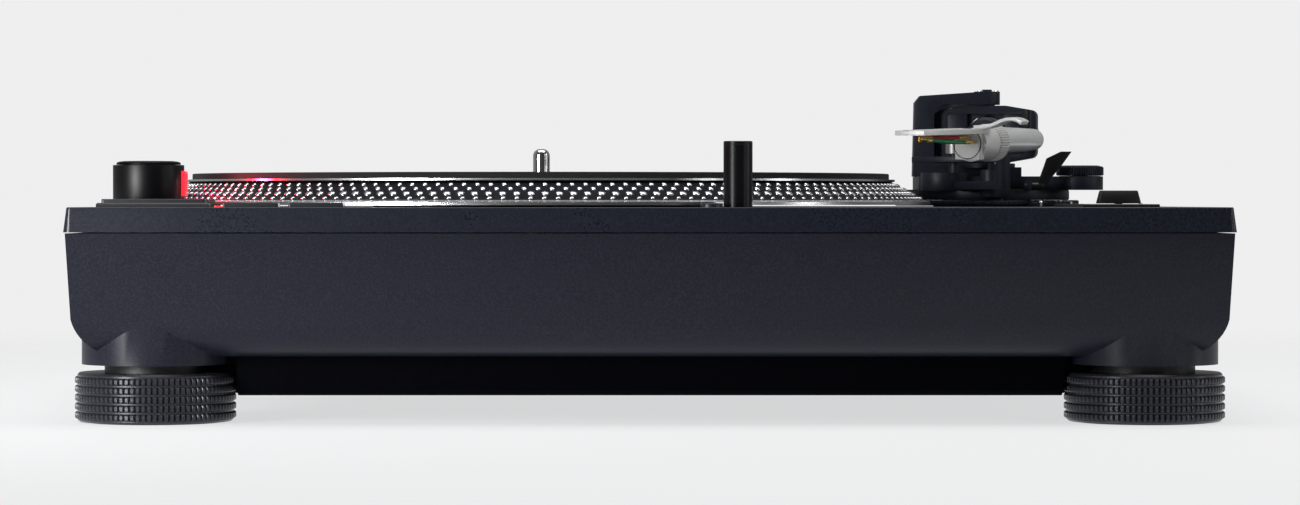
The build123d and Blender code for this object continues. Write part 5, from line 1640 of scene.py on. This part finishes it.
    def base_washers(self) -> None:
        """Builds black rings of painted shade under the height ring and under the anti-skating dial."""
        pivot = joint_place("arm_swing")
        bore = self.ring_bore + self.washer_clear
        made = []
        for size in self.washers:
            washer = Bench.turned("washer", ring_profile(bore, *size, self.washer_chamfer), Sides.WASHER)
            made.append(Bench.place(washer, at(pivot.x, pivot.y)))
        dial = joint_place("anti_skate_turn")
        radius, edge = self.spacer_radius, self.spacer_chamfer
        foot, head = -self.spacer_rise, -self.spacer_gap
        dial_shade = Bench.turned("dial_shade", [
            (self.spacer_bore, foot), (radius - edge, foot), (radius, foot + edge),
            (radius, -self.spacer_rim), (radius - edge, head), (self.spacer_bore, head),
            (self.spacer_bore, foot)], Sides.COLLAR)
        made.append(Bench.place(dial_shade, at(dial.x, dial.y, foot_of("anti_skate_dial"))))
        finish_piece(Bench.smooth(Bench.join("base_washers", made)), "tonearm_base", PAINTED_SHADE)

    def stop(self) -> None:
        """Builds the polished stop on its post, beside the gimbal."""
        pivot = joint_place("arm_swing")
        place = at(pivot.x + self.stop_place[0], pivot.y + self.stop_place[1])
        low, top = self.stop_low, self.stop_top
        radius, (foot_edge, top_edge) = self.stop_radius, self.stop_edges
        post = Bench.turned("stop_post", [
            (self.post_radius, top_of("arm_base") - self.post_sink), (self.post_radius, low + self.overlap),
            (0, low + self.overlap)], Sides.POST)
        finish_piece(Bench.smooth(Bench.place(post, place)), "tonearm_base", ARM_COAT)
        self.base_washers()
        stop = Bench.turned("polished_stop", [
            (0, low), (radius - foot_edge, low), (radius, low + foot_edge), (radius, top - top_edge),
            (radius - top_edge, top), (0, top)], Sides.COLUMN)
        finish_piece(Bench.smooth(Bench.place(stop, place)), "tonearm_base", STOP_STEEL)

    def yoke_screws(self, rounding: float) -> None:
        """Sets the screws in the yoke's top.

        Args:
            rounding: how far the screws' seats lie under the top, which is the yoke's rounding.
        """
        pivot = joint_place("arm_swing")
        top = top_of("gimbal_yoke") - rounding
        for index, (x, y) in enumerate(self.screw_places):
            screw = Bench.turned("yoke_screw_" + str(index), self.screw_profile, Sides.SCREW)
            Bench.place(screw, at(pivot.x + x, pivot.y + y, top))
            finish_piece(Bench.smooth(screw), "tonearm_base", NICKEL)

    def build(self) -> None:
        """Builds the base's fine pieces and finishes its solids."""
        self.height_ring()
        self.anti_skate_dial()
        solids = {
            "arm_base": (ARM_COAT, 0.4), "gimbal_yoke": (ARM_COAT, 0.9), "arm_rest": (ARM_COAT, 0.35),
            "height_lock_lever": (KNOB_GLOSS, 0.4), "cue_lever": (KNOB_PLASTIC, 0.45),
            "lifter_bar": (ARM_COAT, 0.35), "arm_rest_clip": (KNOB_PLASTIC, 0.3),
        }
        self.softener.dress(solids)
        self.pedestal()
        self.stop()
        self.yoke_screws(solids["gimbal_yoke"][1])


@dataclass
class Tonearm:
    """The arm on its gimbal: tube, knurled nut, headshell with leads, counterweight and dial."""
    softener: Softener
    pivot_turn: float = -101.0
    droop: float = 2.0
    length: float = 230.0
    offset: float = 22.0
    head_reach: float = 52.0
    nut_radius: float = 7.6
    nut_length: float = 8.0
    nut_chamfer: float = 0.6
    nut_lobes: int = 44
    nut_per_lobe: int = 4
    nut_lobe_depth: float = 0.85
    knurl_skin: float = 0.3
    tube_bore: float = 4.35
    tube_radius: float = 4.4
    weight_radius: float = 11.0
    weight_front: float = 40.0
    weight_length: float = 30.0
    weight_edge: float = 0.8
    weight_grooves: tuple[float, float] = (4.0, 21.4)
    groove_depth: float = 0.5
    groove_slope: float = 0.4
    groove_width: float = 1.4
    weight_rim: tuple[float, float] = (2.2, 2.6)
    weight_dish: float = 0.6
    weight_knurls: int = 80
    weight_knurl_depth: float = 0.35
    weight_knurl_run: float = 7.4
    weight_skin: float = 0.1
    bush_bore: float = 7.05
    dial_radius: float = 9.6
    dial_length: float = 4.0
    dial_chamfer: float = 0.3
    dial_lap: float = 0.3
    dial_lines: int = 40
    dial_long: int = 5
    dial_numbered: int = 10
    line_half: float = 0.08
    line_depth: tuple[float, float] = (0.12, 0.02)
    line_from: float = 0.2
    line_to: tuple[float, float] = (1.0, 1.7)
    numeral: float = 1.5
    numeral_at: float = 2.7
    gimbal_half: float = 22.4
    screw_profile: Profile = ((0, -0.5), (2.6, -0.5), (2.6, 0.4), (2.3, 0.7), (0.7, 0.7), (0.7, 0.2),
                              (0, 0.2))
    terminal_face: float = 15.0
    terminal_radius: float = 6.35
    terminal_bore: float = 6.0
    terminal_rim: tuple[float, float] = (-0.3, 0.1)
    lead_colours: tuple[str, ...] = ("white", "blue", "red", "green")
    lead_radius: float = 0.75
    lead_reach: float = 27.0
    lead_stagger: float = 2.6
    lead_ceiling: float = 3.0
    lead_drops: tuple[float, float] = (0.1, 1.0)
    lead_from_pin: tuple[tuple[float, float, float], ...] = ((7.0, 1.0, 0.0), (11.0, 1.0, 0.0),
                                                             (16.0, 1.15, -0.2))
    lead_to_clip: tuple[tuple[float, float, float], ...] = ((-9.0, 0.8, -0.5), (0.0, 0.6, 0.0))
    pin_pitch: float = 2.6
    pin_levels: tuple[float, float] = (2.6, 0.7)
    pin_profile: Profile = ((0, -0.5), (0.5, -0.5), (0.5, 2.2), (0.85, 2.4), (0.85, 6.4), (0.7, 6.6),
                            (0.7, 7.4), (0.9, 7.6), (0.9, 9.4), (0.7, 9.6), (0, 9.6))
    clip_profile: Profile = ((0, -1.0), (0.9, -1.0), (0.95, 0.4), (0.5, 0.8), (0.5, 3.0), (0.85, 3.3),
                             (0.85, 7.6), (0.6, 7.9), (0.6, 6.4), (0, 6.2))
    clip_lean: float = 4.0
    clip_lean_step: float = 3.0
    cheek_from: float = 8.3
    cheek_to: float = 17.3
    cheek_half: float = 9.1
    cheek_length: float = 5.3
    cheek_edge: float = 0.4
    housing_clear: float = 8.6
    shroud_radius: float = 11.9
    shroud_half: float = 2.4
    shroud_chamfer: float = 0.2
    cap_outer: Profile = ((6.6, 8.35), (7.75, 7.2), (7.75, 5.7))
    cap_inner: Profile = ((7.45, 5.7), (7.45, 7.0), (6.45, 8.0))

    def level_frame(self) -> Matrix:
        """The gimbal's frame: X along the arm in plan, from the pivots."""
        pivot = joint_place("arm_swing")
        return at(pivot.x, pivot.y, pivot.z, self.pivot_turn)

    def arm_frame(self) -> Matrix:
        """The arm's frame, which droops to the front."""
        return self.level_frame() @ turned_by(self.droop, "Y")

    def head_frame(self) -> Matrix:
        """Works out the headshell's frame, at the tube's end.

        Returns:
            The frame, with X along the headshell.
        """
        turn = math.radians(self.offset)
        along = self.length - self.head_reach * math.cos(turn)
        return self.arm_frame() @ at(along, self.head_reach * math.sin(turn), 0, -self.offset)

    @staticmethod
    def lying(x: float) -> Matrix:
        """Turns an upright piece to lie along X, its foot at x."""
        return at(x, 0) @ turned_by(90, "Y")

    def nut(self) -> None:
        """Builds the knurled nut that locks the headshell."""
        nut = Bench.turned("knurled_headshell_nut", ring_profile(
            self.tube_bore, self.nut_radius, 0, self.nut_length, self.nut_chamfer),
            self.nut_lobes * self.nut_per_lobe)
        Bench.knurl(nut, self.nut_lobes, self.nut_radius - self.knurl_skin, self.nut_lobe_depth,
                    self.nut_per_lobe)
        Bench.place(nut, self.head_frame() @ self.lying(-self.nut_length))
        finish_piece(Bench.smooth(nut), "headshell_nut", SHELL_SILVER, ["headshell_nut"])

    def counterweight(self) -> None:
        """Builds the counterweight with its knurled band between grooves."""
        outer, length, bore = self.weight_radius, self.weight_length, self.bush_bore
        edge, slope, floor = self.weight_edge, self.groove_slope, outer - self.groove_depth
        points = [(bore, 0), (outer - edge, 0), (outer, edge)]
        for low in self.weight_grooves:
            high = low + self.groove_width
            points += [(outer, low), (floor, low + slope), (floor, high - slope), (outer, high)]
        dish = length - self.weight_dish
        points += [(outer, length - edge), (outer - edge, length), (outer - self.weight_rim[0], length),
                   (outer - self.weight_rim[1], dish), (bore, dish), (bore, 0)]
        weight = Bench.turned("knurled_counterweight", points, self.weight_knurls * Bench.PER_LOBE)
        Bench.knurl(weight, self.weight_knurls, outer - self.weight_skin, self.weight_knurl_depth,
                    low=length - self.weight_knurl_run, high=dish)
        Bench.place(weight, self.arm_frame() @ self.lying(-self.weight_front) @ turned_by(180, "X"))
        finish_piece(Bench.smooth(weight), "counterweight", WEIGHT_STEEL, ["counterweight"])

    def force_dial(self) -> None:
        """Builds the force dial in front of the counterweight, and prints its scale."""
        radius = self.dial_radius
        place = self.arm_frame() @ self.lying(self.dial_lap - self.weight_front)
        dial = Bench.turned("force_dial_ring", ring_profile(
            self.bush_bore, radius, 0, self.dial_length, self.dial_chamfer), Sides.DIAL)
        finish_piece(Bench.smooth(Bench.place(dial, place)), "force_dial", KNOB_PLASTIC, ["force_dial"])
        inward, outward = self.line_depth
        marks = []
        for index in range(self.dial_lines):
            side = at(0, 0, 0, index * 360 / self.dial_lines) @ at(0, -radius)
            tick = Bench.block("tick", (-self.line_half, -inward, self.line_from),
                               (self.line_half, outward, self.line_to[index % self.dial_long == 0]),
                               TICK_EDGE, 1)
            marks.append(Bench.place(tick, side))
            if index % self.dial_numbered == 0:
                number = Bench.lettering("number", str(index // self.dial_numbered), self.numeral)
                upright = at(0, -PRINT_RISE / 2, self.numeral_at) @ turned_by(90, "X")
                marks.append(Bench.place(number, side @ upright))
        scale = Bench.place(Bench.join("force_dial_scale", marks), place)
        finish_piece(scale, "force_dial", PRINT_WHITE)

    def leads(self) -> None:
        """Builds the four leads with their plated pins and clips, and a black ring of painted shade in the gap
        round the terminal block's face.
        """
        head = self.head_frame()
        face = self.terminal_face
        metal = []
        for index, colour in enumerate(self.lead_colours):
            out = (index - (len(self.lead_colours) - 1) / 2) * self.pin_pitch
            level = self.pin_levels[index % 2]
            end = face + self.lead_reach + index * self.lead_stagger
            ceiling = self.lead_ceiling - self.lead_drops[index % 2]
            points = [(base + along, out * share, height + rise)
                      for base, height, course in ((face, level, self.lead_from_pin),
                                                   (end, ceiling, self.lead_to_clip))
                      for along, share, rise in course]
            wire = Bench.place(Bench.wire("lead_" + colour, points, self.lead_radius), head)
            finish_piece(Bench.smooth(wire, ALL_ROUND), "tonearm", LEAD_COLOURS[colour],
                         ["headshell_leads"] if index == 0 else [])
            pin = Bench.turned("pin", self.pin_profile, Sides.PIN)
            metal.append(Bench.place(pin, head @ at(0, out, level) @ self.lying(face)))
            clip = Bench.turned("clip", self.clip_profile, Sides.PIN)
            lean = turned_by(self.clip_lean - self.clip_lean_step * index, "Y")
            metal.append(Bench.place(clip, head @ at(*points[-1]) @ lean @ self.lying(0)))
        # painted shade: a black ring that stands in for the shadow gap round the socket's face
        low, high = (face + reach for reach in self.terminal_rim)
        rim = Bench.turned("terminal_rim", ring_profile(
            self.terminal_bore, self.terminal_radius, low, high), Sides.COLLAR)
        Bench.place(rim, head @ self.lying(0))
        finish_piece(Bench.smooth(rim), "tonearm", PAINTED_SHADE)
        finish_piece(Bench.smooth(Bench.join("lead_pins", metal)), "tonearm", PIN_GOLD)

    def pivots(self) -> None:
        """Builds the slotted pivot screws at the gimbal ring's two ends."""
        for side, name in ((-1, "gimbal_pivot_screw_left"), (1, "gimbal_pivot_screw_right")):
            screw = Bench.turned(name, self.screw_profile, Sides.POST)
            facing = turned_by(-90 * side, "X")
            Bench.place(screw, self.level_frame() @ at(0, side * self.gimbal_half) @ facing)
            finish_piece(Bench.smooth(screw), "gimbal_ring", NICKEL)

    def cheeks(self) -> None:
        """Builds the bearing blocks and the shroud that fill the gimbal ring round the arm's housing."""
        made = []
        for side in (-1, 1):
            inner, outer = sorted((side * self.cheek_from, side * self.cheek_to))
            made.append(Bench.block("cheek", (-self.cheek_length, inner, -self.cheek_half),
                                    (self.cheek_length, outer, self.cheek_half), self.cheek_edge))
        shroud = Bench.turned("shroud", ring_profile(
            self.housing_clear, self.shroud_radius, -self.shroud_half, self.shroud_half,
            self.shroud_chamfer), Sides.COLLAR)
        made.append(Bench.place(shroud, self.lying(0)))
        cheeks = Bench.place(Bench.join("gimbal_bearing_blocks", made), self.level_frame())
        finish_piece(Bench.smooth(cheeks), "gimbal_ring", ARM_COAT)

    def housing_caps(self) -> None:
        """Builds the two dark caps over the pivot housing's ends."""
        inner = (self.tube_radius, self.cap_inner[-1][1])
        outer = (self.tube_radius, self.cap_outer[0][1])
        caps = []
        for turn in (0, 180):
            profile = [inner, outer, *self.cap_outer, *self.cap_inner, inner]
            cap = Bench.turned("cap", profile, Sides.COLLAR)
            caps.append(Bench.place(cap, self.arm_frame() @ turned_by(turn, "Z") @ self.lying(0)))
        finish_piece(Bench.smooth(Bench.join("pivot_housing_caps", caps)), "tonearm", ARM_COAT)

    def build(self) -> None:
        """Builds the arm's fine pieces and finishes its solids."""
        for make in (self.cheeks, self.housing_caps, self.nut, self.counterweight, self.force_dial,
                     self.leads, self.pivots):
            make()
        self.softener.dress({
            "gimbal_ring": (ARM_COAT, 0.4), "arm_tube": (ARM_SILVER, 0.0), "weight_shaft": (ARM_COAT, 0.0),
            "headshell": (SHELL_SILVER, 0.25), "finger_lift": (SHELL_SILVER, 0.2),
            "weight_bush": (ARM_COAT, 0.3),
        })


# The studio

Place = tuple[float, float, float]


@dataclass(frozen=True)
class Lamp:
    """A rectangular soft lamp: its place and aim in metres, its power in watts, its spread in degrees."""
    name: str
    place: Place
    target: Place
    size: tuple[float, float]
    power: float
    spread: float = 180.0
    colour: Colour = (1.0, 1.0, 1.0)

    def build(self) -> None:
        """Adds the lamp."""
        Bench.clear()
        bpy.ops.object.light_add(type="AREA", location=self.place)
        lamp = bpy.context.object
        lamp.name = self.name
        lamp.data.shape = "RECTANGLE"
        lamp.data.size, lamp.data.size_y = self.size
        lamp.data.energy = self.power
        lamp.data.spread = math.radians(self.spread)
        lamp.data.color = self.colour
        aim = Vector(self.target) - Vector(self.place)
        lamp.rotation_euler = aim.to_track_quat("-Z", "Y").to_euler()


@dataclass
class Studio:
    """A pale floor that fades into a white surround, soft lamps and the photograph's camera, in metres."""
    camera_distance: float = 1.6
    front: float = -0.1765
    camera_height: float = 0.0867
    tilt: float = 0.71
    focal_px: float = 4154.0
    image_width: float = 1300.0
    sensor: float = 36.0
    view_end: float = 20.0
    white: float = 0.86
    floor_radius: float = 4.0
    floor_inset: float = 2.0
    floor_sides: int = 96
    fade: tuple[float, float] = (0.45, 1.15)
    albedo: float = 0.28
    floor_rough: float = 0.7
    floor_sheen: float = 0.1
    floor_tint: Colour = (0.985, 0.99, 1.0)
    floor_light: float = 0.665
    room_depth: tuple[float, float] = (-0.55, 0.7)
    room_front: float = 0.06
    room_back: float = 0.26
    room_width: tuple[float, float] = (-0.6, 0.6)
    room_left: float = 1.1
    room_right: float = 0.85
    glow_from: Place = (0.004, 0.0, 0.0)
    glow_to: Place = (0.04, 0.012, -0.002)

    def floor(self) -> None:
        """Adds the floor, which fades out away from the object."""
        Bench.clear()
        bpy.ops.mesh.primitive_circle_add(vertices=self.floor_sides, radius=self.floor_radius,
                                          fill_type="NGON", location=(0, 0, 0))
        floor = Bench.named("studio_floor")
        Bench.edit(floor, "FACE")
        bpy.ops.mesh.inset(thickness=self.floor_inset)
        bpy.ops.object.mode_set(mode="OBJECT")
        material = bpy.data.materials.new("pale_floor")
        material.use_nodes = True
        tree = material.node_tree
        shader = tree.nodes["Principled BSDF"]
        for inlet, value in (("Base Color", (self.albedo, self.albedo, self.albedo, 1)),
                             ("Roughness", self.floor_rough), ("Specular IOR Level", self.floor_sheen),
                             ("Emission Color", (*self.floor_tint, 1)),
                             ("Emission Strength", self.floor_light)):
            shader.inputs[inlet].default_value = value
        far = tree.nodes.new("ShaderNodeVectorMath")
        far.operation = "LENGTH"
        tree.links.new(tree.nodes.new("ShaderNodeTexCoord").outputs["Object"], far.inputs[0])
        shown = Effects.curve(tree, far.outputs["Value"], *self.fade, 1.0, 0.0, soft=True)
        tree.links.new(shown, shader.inputs["Alpha"])
        floor.data.materials.append(material)

    def surround(self) -> None:
        """Sets the world: white to the camera, and a soft grey room to the object."""
        world = bpy.data.worlds.new("studio")
        bpy.context.scene.world = world
        world.use_nodes = True
        tree = world.node_tree
        tree.nodes.clear()
        rays = tree.nodes.new("ShaderNodeLightPath")
        shown = tree.nodes.new("ShaderNodeBackground")
        shown.inputs["Color"].default_value = (self.white, self.white, self.white, 1)
        room = tree.nodes.new("ShaderNodeBackground")
        split = tree.nodes.new("ShaderNodeSeparateXYZ")
        tree.links.new(tree.nodes.new("ShaderNodeTexCoord").outputs["Generated"], split.inputs[0])
        depth = Effects.curve(tree, split.outputs["Y"], *self.room_depth, self.room_front, self.room_back,
                              soft=True)
        side = Effects.curve(tree, split.outputs["X"], *self.room_width, self.room_left, self.room_right,
                             soft=True)
        tree.links.new(Effects.reckon(tree, "MULTIPLY", depth, side), room.inputs["Color"])
        mixed = tree.nodes.new("ShaderNodeMixShader")
        out = tree.nodes.new("ShaderNodeOutputWorld")
        for inlet, socket in enumerate((rays.outputs["Is Camera Ray"], room.outputs[0], shown.outputs[0])):
            tree.links.new(socket, mixed.inputs[inlet])
        tree.links.new(mixed.outputs[0], out.inputs["Surface"])

    def lamps(self) -> None:
        """Adds the lamps: one overhead, three at the sides, and the strobe's glow beside its lens."""
        lens = centre_of("strobe_lens") * MM
        for lamp in (
                Lamp("over", (0, -0.05, 1.5), (0, 0, 0), (1.6, 1.1), 15.0),
                Lamp("left_strip", (-0.75, -0.8, 0.2), (-0.3, -0.17, 0.07), (0.32, 0.4), 1.0, 48.0),
                Lamp("right_strip", (0.72, -0.6, 0.3), (0.14, -0.1, 0.05), (0.07, 0.6), 0.5),
                Lamp("strobe_glow", tuple(lens + Vector(self.glow_from)), tuple(lens + Vector(self.glow_to)),
                     (0.007, 0.009), 0.03, colour=(1.0, 0.02, 0.05)),
                Lamp("right_edge", (1.1, -0.22, 0.35), (0.19, 0, 0.05), (0.12, 0.8), 1.4)):
            lamp.build()

    def camera(self) -> None:
        """Adds the camera at the photograph's place."""
        Bench.clear()
        bpy.ops.object.camera_add(location=(0, self.front - self.camera_distance, self.camera_height),
                                  rotation=(math.radians(90 - self.tilt), 0, 0))
        camera = bpy.context.object
        camera.name = "photo_camera"
        camera.data.sensor_width = self.sensor
        camera.data.lens = self.focal_px / self.image_width * self.sensor
        camera.data.clip_end = self.view_end
        bpy.context.scene.camera = camera

    def build(self) -> None:
        """Sets up the studio."""
        self.floor()
        self.surround()
        self.lamps()
        self.camera()
        bpy.context.scene.view_settings.view_transform = "Standard"


def main() -> None:
    """Builds the dressed turntable and its studio."""
    logging.basicConfig(level=logging.INFO, format="%(message)s")
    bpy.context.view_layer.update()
    softener = Softener()
    Case(softener).dress()
    RearTerminals().build()
    LevellingFeet(softener).build()
    PlatterSet(softener).build()
    StrobeTower().build()
    Buttons(softener).build()
    TargetLight(softener).build()
    PitchControl(softener).build()
    ArmBase(softener).build()
    Tonearm(softener).build()
    Studio().build()


if __name__ == "__main__":
    main()
